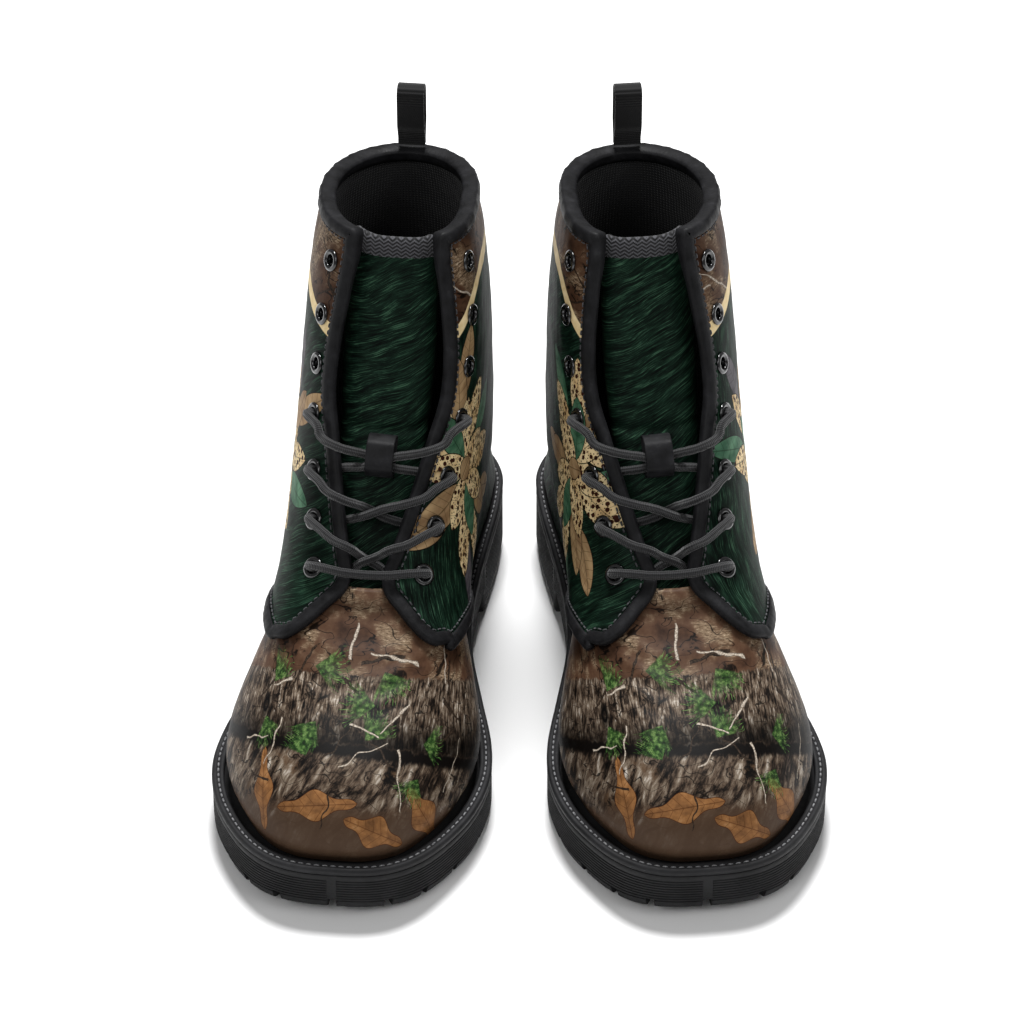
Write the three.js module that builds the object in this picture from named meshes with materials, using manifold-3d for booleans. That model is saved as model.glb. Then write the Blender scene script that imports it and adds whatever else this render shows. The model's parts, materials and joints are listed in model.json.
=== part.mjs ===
// A pair of lace-up ankle boots on lugged rubber soles, in millimetres, +Z up.
// The toes point to -Y. The wearer's right boot stands at -X and the left one is its mirror image.
import * as THREE from "three";
import { mergeVertices } from "three/addons/utils/BufferGeometryUtils.js";
import Module from "manifold-3d";

const wasm = await Module();
wasm.setup();

// ---------------------------------------------------------------- driving dimensions
const SOLE_LENGTH = 292;
const SOLE_HALF = SOLE_LENGTH / 2;
const BOOT_OFFSET_X = 58; // from the pair's middle plane to a boot's own middle line
const TOE_OUT = THREE.MathUtils.degToRad(6);
const GAP = 0.3; // between pieces that touch

const WELT_WIDTH = 5.1;
const WELT_HEIGHT = 3;
const UPPER_INSET = 9; // from the sole's outline in to the upper's base surface
const SKIN = 1.2; // vamp, quarters, heel counter
const LAYER_GAP = 1.2; // between the upper's curved layers
const QUARTER_UNDER = LAYER_GAP; // the quarters lie over the vamp's wings
const QUARTER_LIFT = QUARTER_UNDER + SKIN;
const LINING_THICKNESS = 1.4;
const TONGUE_DEPTH = 7; // from the base surface in to the tongue's face
const TONGUE_THICKNESS = 3.6;

const LACE_RADIUS = 1.9;
const EYELET_ROWS = 7;
const EYELET_HOLE = 2.35;
const EYELET_BARREL = 2.8;
const EYELET_FLANGE = 4.7;
const EYELET_CUT = 3.4;
const EYELET_SIDES = 8;

// ---------------------------------------------------------------- small tools
const { clamp, smoothstep, lerp } = THREE.MathUtils;
const V = (x, y, z) => new THREE.Vector3(x, y, z);

// A smooth curve through knots [x, y], held flat past its ends.
function spline(knots) {
  const slope = (i, j) => (knots[j][1] - knots[i][1]) / (knots[j][0] - knots[i][0]);
  const last = knots.length - 1;
  const tangent = (i) => (i === 0 || i === last ? 0.5 * slope(Math.max(i - 1, 0), Math.min(i + 1, last))
    : 0.5 * (slope(i - 1, i) + slope(i, i + 1)));
  return (x) => {
    const at = clamp(x, knots[0][0], knots[last][0]);
    let i = 0;
    while (i < last - 1 && at > knots[i + 1][0]) i += 1;
    const width = knots[i + 1][0] - knots[i][0];
    const u = (at - knots[i][0]) / width;
    const a = knots[i][1];
    const b = knots[i + 1][1];
    const ta = tangent(i) * width;
    const tb = tangent(i + 1) * width;
    return a + u * (ta + u * (3 * (b - a) - 2 * ta - tb + u * (2 * (a - b) + ta + tb)));
  };
}

// ---------------------------------------------------------------- the sole's outline and levels
// Along the boot v runs from 0 at the heel to 1 at the toe.
const endPower = (v) => 2.4 + 0.55 * v; // how square the outline's ends are
const soleGirth = spline([[0, 55.5], [0.1, 53.5], [0.17, 47.3], [0.27, 40.6], [0.4, 38], [0.5, 41],
  [0.6, 48.8], [0.7, 57.6], [0.77, 61.6], [0.85, 61.8], [0.92, 59], [1, 57]]);
const soleMiddle = spline([[0, 0], [0.25, 0], [0.45, -2.5], [0.7, -3.2], [0.9, -3.3], [1, -2.6]]);
const soleTop = spline([[-147, 23], [-118, 20.5], [-80, 20], [-32, 21.5], [17, 26], [57, 30.5],
  [97, 33], [147, 34]]);
const FOREPART_BOTTOM = spline([[-147, 5.6], [-135, 3], [-120, 1.2], [-98, 0], [2, 0], [19, 4],
  [42, 10], [58, 12]]);
const HEEL_BREAST_Y = 58;
const soleBottom = (y) => (y > HEEL_BREAST_Y + 1.5 ? 0
  : Math.max(FOREPART_BOTTOM(y), 0) * clamp((HEEL_BREAST_Y + 1.5 - y) / 1.5, 0, 1));

const roundEnd = (c, power) => (1 - Math.abs(c) ** power) ** (1 / power);

// A point of the outline, set in by inset. theta is 0 at the heel and PI at the toe.
function outline(theta, side, inset) {
  const c = Math.cos(theta);
  const v = (1 - c) / 2;
  const half = roundEnd(c, endPower(v)) * (soleGirth(v) - inset);
  return new THREE.Vector2(soleMiddle(v) + side * half, (SOLE_HALF - inset) * c);
}

// ---------------------------------------------------------------- the upper's base surface
// s runs from 0 at the sole to 1 at the collar; t runs from 0 at the back seam to +PI (inner side) and
// -PI (outer side) at the front.
const frontY = spline([[0, -137.8], [0.06, -139.4], [0.12, -135.7], [0.18, -126.5], [0.26, -109], [0.36, -83],
  [0.45, -56], [0.52, -38], [0.62, -17], [0.75, 3], [0.88, 18], [1, 30]]);
const frontZ = spline([[0, 22.5], [0.06, 33], [0.12, 45], [0.18, 55], [0.26, 64], [0.36, 74],
  [0.45, 86], [0.52, 99], [0.62, 124], [0.75, 156], [0.88, 187], [1, 214]]);
const backY = spline([[0, 137.8], [0.12, 140], [0.3, 139.5], [0.5, 134], [0.7, 126], [0.85, 119], [1, 114]]);
const backZ = spline([[0, 34.3], [0.12, 47], [0.3, 70], [0.5, 100], [0.7, 135], [0.85, 168], [1, 202.5]]);
const shaftHalfWidth = spline([[0.2, 38.5], [0.35, 38.3], [0.5, 38], [0.65, 37], [0.8, 35.5],
  [0.92, 32.6], [1, 29]]);
const sideBulge = spline([[0, 0], [0.025, 0.2], [0.07, 2.6], [0.14, 1.7], [0.25, -2.2], [0.5, -5.4]]);
// The shaft faces further in than the sole.
const shaftLean = spline([[0, 0.9], [0.5, 0.6], [0.8, 2.8], [1, 5]]);

function base(t, s) {
  const side = t < 0 ? -1 : 1;
  const c = Math.cos(t);
  const v = (1 - c) / 2;
  const low = 1 - smoothstep(s, 0.03, 0.45);
  const half = low * (soleGirth(v) - UPPER_INSET + sideBulge(s)) + (1 - low) * shaftHalfWidth(s);
  const y = lerp(backY(s), frontY(s), v);
  const flat = lerp(backZ(0), frontZ(0), v);
  const settle = 1 - smoothstep(s, 0, 0.3);
  const middle = soleMiddle(v) * (1 - clamp(s, 0, 1)) ** 2 + shaftLean(v) * smoothstep(s, 0.35, 0.97);
  const z = lerp(backZ(s), frontZ(s), v) + (soleTop(y) + 3 * GAP - flat) * settle;
  return V(middle + side * roundEnd(c, endPower(v) - 0.35 * s) * half, y, z);
}

function normal(t, s) {
  const step = 0.012;
  const around = base(wrap(t + step), s).sub(base(wrap(t - step), s));
  const up = base(t, Math.min(s + step, 1.02)).sub(base(t, Math.max(s - step, 0)));
  return up.cross(around).normalize();
}

// t past the front middle carries on from the other side.
function wrap(t) {
  if (t > Math.PI) return t - 2 * Math.PI;
  return t < -Math.PI ? t + 2 * Math.PI : t;
}

const lifted = (t, s, height) => base(t, s).addScaledVector(normal(t, s), height);

// The t on the front half where the base surface at s is x away from its front middle, on the given side.
function frontT(x, s, side) {
  const middle = base(Math.PI, s).x;
  let low = Math.PI / 2;
  let high = Math.PI;
  for (let i = 0; i < 30; i += 1) {
    const half = (low + high) / 2;
    if (side * (base(side * half, s).x - middle) > x) low = half;
    else high = half;
  }
  return side * low;
}

// ---------------------------------------------------------------- closed meshes
function closedMesh(points, faces) {
  const geometry = new THREE.BufferGeometry();
  const numbers = points.flatMap((p) => [p.x, p.y, p.z]);
  geometry.setAttribute("position", new THREE.Float32BufferAttribute(numbers, 3));
  geometry.setIndex(faces);
  return geometry;
}

// A sheet with thickness: outer(p, q) and inner(p, q) give its two skins over a grid of across by along
// cells.
// A looped sheet joins its p = 0 edge to its p = 1 edge.
function shell(across, along, outer, inner, looped = false) {
  const points = [];
  const faces = [];
  const row = looped ? across : across + 1;
  const skin = row * (along + 1);
  for (const face of [outer, inner]) {
    for (let j = 0; j <= along; j += 1) {
      for (let i = 0; i < row; i += 1) points.push(face(i / across, j / along));
    }
  }
  const quad = (a, b, c, d) => faces.push(a, b, c, a, c, d);
  const turned = (a, b, c, d) => points[a].distanceTo(points[c]) > points[b].distanceTo(points[d]);
  const top = along * row;
  for (let i = 0; i < across; i += 1) {
    const next = (i + 1) % row;
    for (let j = 0; j < along; j += 1) {
      const [a, b] = [j * row + i, j * row + next];
      if (turned(a, b, b + row, a + row)) {
        quad(b, b + row, a + row, a);
        quad(skin + a + row, skin + b + row, skin + b, skin + a);
      } else {
        quad(a, b, b + row, a + row);
        quad(skin + a, skin + a + row, skin + b + row, skin + b);
      }
    }
    quad(i, skin + i, skin + next, next);
    quad(top + i, top + next, skin + top + next, skin + top + i);
  }
  for (let j = 0; j < along && !looped; j += 1) {
    const [left, right] = [j * row, j * row + across];
    quad(left, left + row, skin + left + row, skin + left);
    quad(right, skin + right, skin + right + row, right + row);
  }
  return outwards(closedMesh(points, faces));
}

// A section of 2-D points carried along frames {at, side, up}; looped joins its ends.
function sweep(frames, section, looped = false) {
  const points = frames.flatMap(({ at, side, up }, i) =>
    (typeof section === "function" ? section(i) : section)
    .map(([a, b]) => at.clone().addScaledVector(side, a).addScaledVector(up, b)));
  const n = points.length / frames.length;
  const faces = [];
  const spans = looped ? frames.length : frames.length - 1;
  for (let i = 0; i < spans; i += 1) {
    for (let k = 0; k < n; k += 1) {
      const a = i * n + k;
      const b = i * n + ((k + 1) % n);
      const c = ((i + 1) % frames.length) * n + ((k + 1) % n);
      const d = ((i + 1) % frames.length) * n + k;
      faces.push(a, b, c, a, c, d);
    }
  }
  if (!looped) {
    const last = (frames.length - 1) * n;
    const first = typeof section === "function" ? section(0) : section;
    const contour = first.map(([a, b]) => new THREE.Vector2(a, b));
    const turned = THREE.ShapeUtils.isClockWise(contour);
    for (const [a, b, c] of THREE.ShapeUtils.triangulateShape(contour, [])) {
      if (turned) faces.push(a, b, c, last + a, last + c, last + b);
      else faces.push(a, c, b, last + a, last + b, last + c);
    }
  }
  return outwards(closedMesh(points, faces));
}

function volumeOf(geometry) {
  const p = geometry.getAttribute("position");
  const index = geometry.index.array;
  const at = (i) => new THREE.Vector3().fromBufferAttribute(p, i);
  let sum = 0;
  for (let i = 0; i < index.length; i += 3) {
    sum += at(index[i]).dot(at(index[i + 1]).cross(at(index[i + 2]))) / 6;
  }
  return sum;
}

function outwards(geometry) {
  if (volumeOf(geometry) < 0) {
    const index = geometry.index.array;
    for (let i = 0; i < index.length; i += 3) [index[i + 1], index[i + 2]] = [index[i + 2], index[i + 1]];
  }
  return geometry;
}

// ---------------------------------------------------------------- cutting
function solidOf(geometry) {
  const bare = (geometry.index ? geometry.toNonIndexed() : geometry.clone());
  bare.deleteAttribute("normal");
  bare.deleteAttribute("uv");
  const merged = mergeVertices(bare, 1e-4);
  return new wasm.Manifold(new wasm.Mesh({ numProp: 3,
    vertProperties: merged.getAttribute("position").array, triVerts: new Uint32Array(merged.index.array) }));
}

function geometryOf(solid) {
  const mesh = solid.getMesh();
  const positions = new Float32Array(mesh.numVert * 3);
  for (let i = 0; i < mesh.numVert; i += 1) {
    positions.set(mesh.vertProperties.subarray(i * mesh.numProp, i * mesh.numProp + 3), i * 3);
  }
  const geometry = new THREE.BufferGeometry();
  geometry.setAttribute("position", new THREE.BufferAttribute(positions, 3));
  geometry.setIndex([...mesh.triVerts]);
  return geometry;
}

// Takes the tools away from a mesh and keeps the largest piece left.
function cut(geometry, tools) {
  const left = tools.reduce((solid, tool) => solid.subtract(solidOf(tool)), solidOf(geometry));
  return geometryOf(left.decompose().sort((a, b) => b.volume() - a.volume())[0]);
}

// ---------------------------------------------------------------- sole unit
const END = 0.03; // the outline's first and last stations, just off its middle line
const soleStations = (count) => Array.from({ length: count + 1 },
  (_, i) => lerp(END, Math.PI - END, i / count));

// A body that follows the outline: each ring gives one corner of its cross-section at a station.
function layer(stations, rings) {
  const frames = stations.map((theta) => rings.map((ring) => ring(theta)));
  const n = rings.length;
  const points = frames.flat();
  const faces = [];
  for (let i = 0; i < stations.length - 1; i += 1) {
    for (let k = 0; k < n; k += 1) {
      const a = i * n + k;
      const b = i * n + ((k + 1) % n);
      faces.push(a, b, b + n, a, b + n, a + n);
    }
  }
  const last = (stations.length - 1) * n;
  for (let k = 1; k < n - 1; k += 1) faces.push(0, k + 1, k, last, last + k, last + k + 1);
  return outwards(closedMesh(points, faces));
}

const ringPoint = (inset, level, side) => (theta) => {
  const p = outline(theta, side, inset);
  return V(p.x, p.y, level(p.y));
};

function outsoleBody() {
  const breast = Math.acos(HEEL_BREAST_Y / (SOLE_HALF - 2));
  const stations = [...soleStations(24), breast - 0.012, breast + 0.012].sort((a, b) => a - b);
  const waist = (y) => lerp(soleBottom(y), soleTop(y), 0.55);
  return layer(stations, [ringPoint(2.6, soleBottom, 1), ringPoint(0.4, waist, 1), ringPoint(0, soleTop, 1),
    ringPoint(0, soleTop, -1), ringPoint(0.4, waist, -1), ringPoint(2.6, soleBottom, -1)]);
}

const GROOVE_WIDTH = 3.4;
const GROOVE_DEPTH = 4.5;
const GROOVE_REACH = 17;

function grooveBox(x, y, length, width, turn) {
  const depth = GROOVE_DEPTH + 10;
  const box = new THREE.BoxGeometry(length, width, depth);
  box.rotateZ(turn);
  box.translate(x, y, soleBottom(y) + GROOVE_DEPTH - depth / 2);
  return box;
}

// Grooves between the lugs round the edge, square to the outline there.
function edgeGrooves() {
  const turns = [0.42, 0.78, 1.62, 1.84, 2.05, 2.26, 2.47, 2.69, 2.92];
  const boxes = [];
  for (const side of [-1, 1]) {
    for (const theta of turns) {
      const p = outline(theta, side, 0);
      const along = outline(theta + 0.02, side, 0).sub(outline(theta - 0.02, side, 0));
      const turn = Math.atan2(along.y, along.x) + Math.PI / 2;
      boxes.push(grooveBox(p.x, p.y, 2 * GROOVE_REACH, GROOVE_WIDTH, turn));
    }
  }
  boxes.push(grooveBox(outline(Math.PI, 1, 0).x, -SOLE_HALF, 2 * GROOVE_REACH, GROOVE_WIDTH, Math.PI / 2));
  boxes.push(grooveBox(0, SOLE_HALF, 2 * GROOVE_REACH, GROOVE_WIDTH, Math.PI / 2));
  return boxes;
}

// Zigzag grooves across the middle of the tread.
function middleGrooves() {
  const boxes = [];
  for (const y of [-100, -72, -44, -16, 92]) {
    for (const side of [-1, 1]) boxes.push(grooveBox(side * 9, y, 21, GROOVE_WIDTH, side * 0.35));
  }
  return boxes;
}

const outsole = () => cut(outsoleBody(), [...edgeGrooves(), ...middleGrooves()]);

// The welt lies on the sole's rim, as a band round the upper.
function welt() {
  const thetas = soleStations(28);
  const loop = [...thetas.map((theta) => [theta, 1]), ...thetas.map((theta) => [theta, -1]).reverse()];
  const frames = loop.map(([theta, side]) => {
    const rim = outline(theta, side, 0);
    const inner = outline(theta, side, WELT_WIDTH);
    const inwards = V(inner.x - rim.x, inner.y - rim.y, 0);
    return { at: V(rim.x, rim.y, soleTop(rim.y) + GAP), side: inwards, up: V(0, 0, 1) };
  });
  return sweep(frames, [[0.04, 0], [1, 0], [1, WELT_HEIGHT], [0.12, WELT_HEIGHT],
    [0.04, WELT_HEIGHT - 0.8]], true);
}

function plate(inset, low, thickness) {
  const bottom = (y) => soleTop(y) + low;
  const top = (y) => soleTop(y) + low + thickness;
  return layer(soleStations(14), [ringPoint(inset, bottom, 1), ringPoint(inset, top, 1),
    ringPoint(inset, top, -1), ringPoint(inset, bottom, -1)]);
}

const BOARD_THICKNESS = 2;
const FOOTBED_THICKNESS = 4;
const INSIDE = UPPER_INSET + SKIN + LAYER_GAP + LINING_THICKNESS + 3.4; // from the outline to the board
const insoleBoard = () => plate(INSIDE, GAP, BOARD_THICKNESS);
const footbed = () => plate(INSIDE + 0.2, 2 * GAP + BOARD_THICKNESS, FOOTBED_THICKNESS);

// ---------------------------------------------------------------- seams of the upper
// The free edge of a quarter starts at the sole, rises to the front corner, runs in to the foot of the throat
// and then up to the collar. The first part is in (t, s), the rest is (distance from the front middle, s).
const SIDE_EDGE = [[1.28, 0], [1.37, 0.07], [1.53, 0.16], [1.75, 0.235], [2.02, 0.29], [2.22, 0.312],
  [2.3, 0.322]];
const THROAT_EDGE = [[34, 0.338], [29, 0.372], [23, 0.41], [14.6, 0.456], [9.4, 0.48], [7.8, 0.503],
  [9.9, 0.531],
  [12.5, 0.566], [17, 0.637], [19.4, 0.68], [22.4, 0.735], [22.2, 0.8], [19.4, 0.89], [17, 0.952], [16.6, 1]];
const EDGE_ROWS = [0, 0.08, 0.16, 0.24, 0.31, 0.36, 0.42, 0.48, 0.53, 0.58, 0.64, 0.71, 0.79, 0.87, 0.94, 1];
const PANEL_COLUMNS = [0, 0.09, 0.17, 0.25, 0.33, 0.41, 0.5, 0.6, 0.7, 0.8, 0.89, 0.96, 1];
const node = (nodes, share) => nodes[Math.round(share * (nodes.length - 1))];

// The free edge on one side: t and s against the share of the way along it.
function quarterEdge(side) {
  const points = [...SIDE_EDGE, ...THROAT_EDGE.map(([x, s]) => [Math.abs(frontT(x, s, side)), s])];
  const lengths = [0];
  for (let i = 1; i < points.length; i += 1) {
    const [a, b] = [points[i - 1], points[i]].map(([t, s]) => base(side * t, s));
    lengths.push(lengths[i - 1] + a.distanceTo(b));
  }
  const share = lengths.map((length) => length / lengths.at(-1));
  return { t: spline(share.map((u, i) => [u, points[i][0]])),
    s: spline(share.map((u, i) => [u, points[i][1]])) };
}

const EDGES = { 1: quarterEdge(1), [-1]: quarterEdge(-1) };
const BACK_SEAM = 0.012;
const backRise = spline([[0, 0], [0.24, 0.27], [0.36, 0.36], [0.5, 0.47], [0.7, 0.66], [1, 1]]);

// The (t, s) of a quarter's point: p runs from the back seam to the free edge, q along the edge.
function quarterAt(side, p, q) {
  const edge = EDGES[side];
  return [side * lerp(BACK_SEAM, edge.t(q), p), Math.max(lerp(backRise(q), edge.s(q), p), 0.004)];
}

// ---------------------------------------------------------------- eyelets
const EYELETS = [[21.5, 0.493], [23.5, 0.554], [25.7, 0.613], [28.2, 0.687], [28.9, 0.762],
  [28.4, 0.842], [25.7, 0.93]];

function eyeletFrame(side, row) {
  const [x, s] = EYELETS[row];
  const t = frontT(x, s, side);
  return { at: base(t, s), n: normal(t, s), t, s };
}

function eyelet() {
  const top = QUARTER_LIFT + GAP;
  const under = -0.9;
  const profile = [[EYELET_HOLE, under], [EYELET_BARREL, under], [EYELET_BARREL, top], [EYELET_FLANGE, top],
    [EYELET_HOLE + 0.3, top + 1], [EYELET_HOLE, under]];
  return new THREE.LatheGeometry(profile.map(([r, y]) => new THREE.Vector2(r, y)), EYELET_SIDES);
}

const upright = V(0, 1, 0);

function eyeletCutters(side) {
  return EYELETS.map((_, row) => {
    const { at, n } = eyeletFrame(side, row);
    const drill = new THREE.CylinderGeometry(EYELET_CUT, EYELET_CUT, 14, 6);
    drill.applyQuaternion(new THREE.Quaternion().setFromUnitVectors(upright, n));
    return drill.translate(at.x, at.y, at.z);
  });
}

// ---------------------------------------------------------------- upper panels
function quarterPanel(side, top, under) {
  const skin = (height) => (p, q) => lifted(...quarterAt(side, node(PANEL_COLUMNS, p),
    node(EDGE_ROWS, q)), height);
  return shell(PANEL_COLUMNS.length - 1, EDGE_ROWS.length - 1, skin(top), skin(under));
}

const quarter = (side) => cut(quarterPanel(side, QUARTER_LIFT, QUARTER_UNDER), eyeletCutters(side));

// The lining's grid: it is shared by the pieces that lie flat on it.
const LINING_COLUMNS = 22;
const COLUMN = (2 * Math.PI) / LINING_COLUMNS;
const LINING_ROWS = [0.01, 0.07, 0.14, 0.21, 0.28, 0.35, 0.42, 0.48, 0.54, 0.62, 0.73, 0.86, 0.993];

// Where the vamp ends under the quarters, as s against the distance from the front middle in t.
const VAMP_TOP = 0.487;
const vampTop = spline([[0, VAMP_TOP], [0.25, VAMP_TOP], [0.5, 0.47], [0.85, 0.42], [1.15, 0.37],
  [1.6, 0.25], [2, 0.12]]);
const VAMP_FACE = -0.5;
const VAMP_COLUMNS = 14;

function vamp() {
  const skin = (height) => (p, q) => {
    const away = VAMP_COLUMNS * COLUMN * (p - 0.5);
    return lifted(wrap(Math.PI + away), q * vampTop(Math.abs(away)), height);
  };
  return shell(VAMP_COLUMNS, 8, skin(VAMP_FACE), skin(VAMP_FACE - 1));
}

// The stiff heel counter lies between the quarters and the lining.
function heelCounter() {
  const rows = LINING_ROWS.slice(0, 7);
  const skin = (height) => (p, q) => lifted(lerp(-3.8, 3.8, p) * COLUMN, node(rows, q), height);
  return shell(8, rows.length - 1, skin(-0.7), skin(-1.6));
}

// The lining backs the quarters and the vamp, and stops short of the eyelets.
const liningTop = (s) => -lerp(2.8, 0, smoothstep(s, 0.5, 0.62));
const THROAT_BOTTOM = 0.445;
const liningEdge = spline([[0.44, 27], [0.5, 30], [0.6, 31.5], [0.7, 33.5], [0.9, 32], [1, 24]]);

function lining() {
  const skin = (extra) => (p, q) => {
    const s = node(LINING_ROWS, q);
    return lifted(lerp(-Math.PI, Math.PI, p), s, liningTop(s) + extra);
  };
  const opening = (height) => (p, q) => {
    const s = lerp(THROAT_BOTTOM, 1.06, q);
    const edge = Math.PI - Math.abs(frontT(liningEdge(s), s, p < 0.5 ? 1 : -1));
    return lifted(wrap(Math.PI + edge * (2 * p - 1)), Math.min(s, 1), height)
      .add(V(0, 0, 250 * Math.max(s - 1, 0)));
  };
  const whole = shell(LINING_COLUMNS, LINING_ROWS.length - 1, skin(0), skin(-LINING_THICKNESS), true);
  return cut(whole, [shell(6, 8, opening(6), opening(-12))]);
}

// ---------------------------------------------------------------- tongue
const TONGUE_START = 0.455;
const TONGUE_FOLD = 0.735; // the tongue's free top bends here, above the lace keeper
const TONGUE_END = 0.985;
const TONGUE_RIM = 0.03; // the woven edge along the tongue's top
const tongueHalf = spline([[TONGUE_START, 9], [0.5, 15], [0.6, 22], [0.75, 26], [0.9, 25], [1, 22]]);
const tongueFace = spline([[TONGUE_START, -5.4], [0.49, -6.4], [0.52, -TONGUE_DEPTH], [1, -TONGUE_DEPTH]]);

function tonguePart(from, to, lift, thick, grow, cells) {
  const skin = (extra) => (p, q) => {
    const s = lerp(from, to, q);
    const side = p < 0.5 ? -1 : 1;
    const edge = Math.PI - Math.abs(frontT(tongueHalf(s) + grow, s, side));
    return lifted(wrap(Math.PI + edge * (2 * p - 1)), s, tongueFace(s) + lift + extra);
  };
  return shell(8, cells, skin(0), skin(-thick));
}

const S_PER_MM = 1 / 290; // how much s changes for each millimetre up the front
const tongueBase = () => tonguePart(TONGUE_START, TONGUE_FOLD - GAP * S_PER_MM, 0, TONGUE_THICKNESS, 0, 5);
const tongueTop = () => tonguePart(TONGUE_FOLD + GAP * S_PER_MM, TONGUE_END - TONGUE_RIM, 0,
  TONGUE_THICKNESS, 0, 4);
const tongueRim = () => tonguePart(TONGUE_END - TONGUE_RIM + 2 * GAP * S_PER_MM, TONGUE_END, 0.2,
  TONGUE_THICKNESS + 0.2, 0, 1);

// The keeper is a flat band on the tongue that the lace runs through.
const KEEPER_WIDTH = 11.5;
const KEEPER_HEIGHT = 17.6;
const KEEPER_RISE = 12.8;
const KEEPER_WALL = 1.1;
const KEEPER_S = 0.6585;

function laceKeeper() {
  const t = Math.PI;
  const n = normal(t, KEEPER_S);
  const up = base(t, KEEPER_S + 0.02).sub(base(t, KEEPER_S - 0.02)).normalize();
  const at = base(t, KEEPER_S).addScaledVector(n, tongueFace(KEEPER_S) + GAP + 0.1);
  const h = KEEPER_HEIGHT / 2;
  const w = KEEPER_WALL;
  const r = KEEPER_RISE;
  const ring = [[-h, 0], [h, 0], [h, r * 0.55], [h * 0.62, r], [-h * 0.62, r], [-h, r * 0.55]];
  const hole = [[-h + w, w], [-h + w, r * 0.5], [-h * 0.6, r - w], [h * 0.6, r - w], [h - w, r * 0.5],
    [h - w, w]];
  const shape = new THREE.Shape(ring.map(([a, b]) => new THREE.Vector2(a, b)));
  shape.holes.push(new THREE.Path(hole.map(([a, b]) => new THREE.Vector2(a, b))));
  const geometry = new THREE.ExtrudeGeometry(shape, { depth: KEEPER_WIDTH, bevelEnabled: false });
  geometry.translate(0, 0, -KEEPER_WIDTH / 2);
  const basis = new THREE.Matrix4().makeBasis(up, n, up.clone().cross(n)).setPosition(at);
  return geometry.applyMatrix4(basis);
}

// ---------------------------------------------------------------- binding, loop and lace
const BINDING_OUT = 1.2; // how far the binding stands off the quarter's faces
const BINDING_WIDTH = 3.6;
const BINDING_EDGE = 1.6;
const BINDING_CLEAR = 0.5; // between the binding's lips and the panel they hold

// The binding's section: a lip on the outside, and one inside too (full = 1) where no vamp lies behind.
function bindingSection(s, full, collar) {
  const outer = QUARTER_LIFT + lerp(1.3, BINDING_CLEAR, full);
  const lining = liningTop(s) - LINING_THICKNESS - BINDING_CLEAR;
  const inner = lerp(0.6, lerp(QUARTER_UNDER - BINDING_CLEAR, lining, collar), full);
  const lip = lerp(1, BINDING_OUT, full);
  const wall = lerp(0.9, GAP, full);
  const reach = lerp(wall + 0.25, -BINDING_WIDTH, full);
  const low = inner - lerp(0.04, lip, full);
  return [[-BINDING_WIDTH, outer], [-BINDING_WIDTH, outer + lip], [0.5, outer + lip],
    [BINDING_EDGE, outer - 0.2], [BINDING_EDGE, inner + 0.3], [1.2, low], [reach, low],
    [reach - 0.1 * (1 - full), inner], [wall, inner + 0.03], [wall, outer]];
}

// A tape round the quarters' front edges and the collar.
function collarBinding() {
  const half = (side) => EDGE_ROWS.slice(1).map((q) => [...quarterAt(side, 1, q),
    smoothstep(q, 0.5, 0.57), smoothstep(q, 0.92, 1)]);
  const top = (side) => PANEL_COLUMNS.slice(0, -1).map((p) => [...quarterAt(side, p, 1), 1, 1]);
  const path = [...half(1), ...top(1).reverse(), ...top(-1), ...half(-1).reverse()];
  const at = path.map(([t, s]) => base(t, s));
  const frames = path.map(([t, s], i) => {
    const up = normal(t, Math.min(s, 0.985));
    const along = at[Math.min(i + 1, at.length - 1)].clone().sub(at[Math.max(i - 1, 0)]).normalize();
    const side = up.clone().cross(along).normalize(); // away from the panel
    return { at: at[i], side, up: along.clone().cross(side).normalize() };
  });
  return sweep(frames, (i) => bindingSection(...path[i].slice(1)));
}

const LOOP_WIDTH = 11.5;
const LOOP_HEIGHT = 29.5;
const LOOP_THICKNESS = 1.5;
const LOOP_OPENING = 6;
const LOOP_FOOT = 1.8; // half the loop's depth where its two ends are sewn together
const LOOP_LIFT = 3.6; // from the collar's edge to the loop's ends

// The pull loop: a folded tape standing on the collar at the back.
function pullLoop() {
  const foot = base(0, 1);
  const r = LOOP_OPENING / 2 + LOOP_THICKNESS;
  const top = LOOP_HEIGHT - r;
  const outside = [[-LOOP_FOOT, 0], [-LOOP_FOOT, 4], [-r, 11]];
  for (let i = 0; i <= 8; i += 1) {
    const a = Math.PI - (Math.PI * i) / 8;
    outside.push([r * Math.cos(a), top + r * Math.sin(a)]);
  }
  outside.push([r, 11], [LOOP_FOOT, 4], [LOOP_FOOT, 0]);
  const inner = r - LOOP_THICKNESS;
  const hole = [[0, 5], [-inner, 11.4]];
  for (let i = 0; i <= 8; i += 1) {
    const a = Math.PI - (Math.PI * i) / 8;
    hole.push([inner * Math.cos(a), top + inner * Math.sin(a)]);
  }
  hole.push([inner, 11.4]);
  const shape = new THREE.Shape(outside.reverse().map(([y, z]) => new THREE.Vector2(y, z)));
  shape.holes.push(new THREE.Path(hole.map(([y, z]) => new THREE.Vector2(y, z))));
  const geometry = new THREE.ExtrudeGeometry(shape, { depth: LOOP_WIDTH, bevelEnabled: false });
  geometry.applyMatrix4(new THREE.Matrix4().makeBasis(V(0, 1, 0), V(0, 0, 1), V(1, 0, 0)));
  return geometry.translate(foot.x - LOOP_WIDTH / 2, foot.y - 0.5, foot.z + LOOP_LIFT);
}

// ---------------------------------------------------------------- the lace
const OVER = QUARTER_LIFT + GAP + 1 + GAP + LACE_RADIUS; // lace centre above an eyelet's flange
const OVER_BINDING = QUARTER_LIFT + BINDING_CLEAR + BINDING_OUT + GAP + LACE_RADIUS + 0.5;
const UNDER = -3.5;

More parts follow.
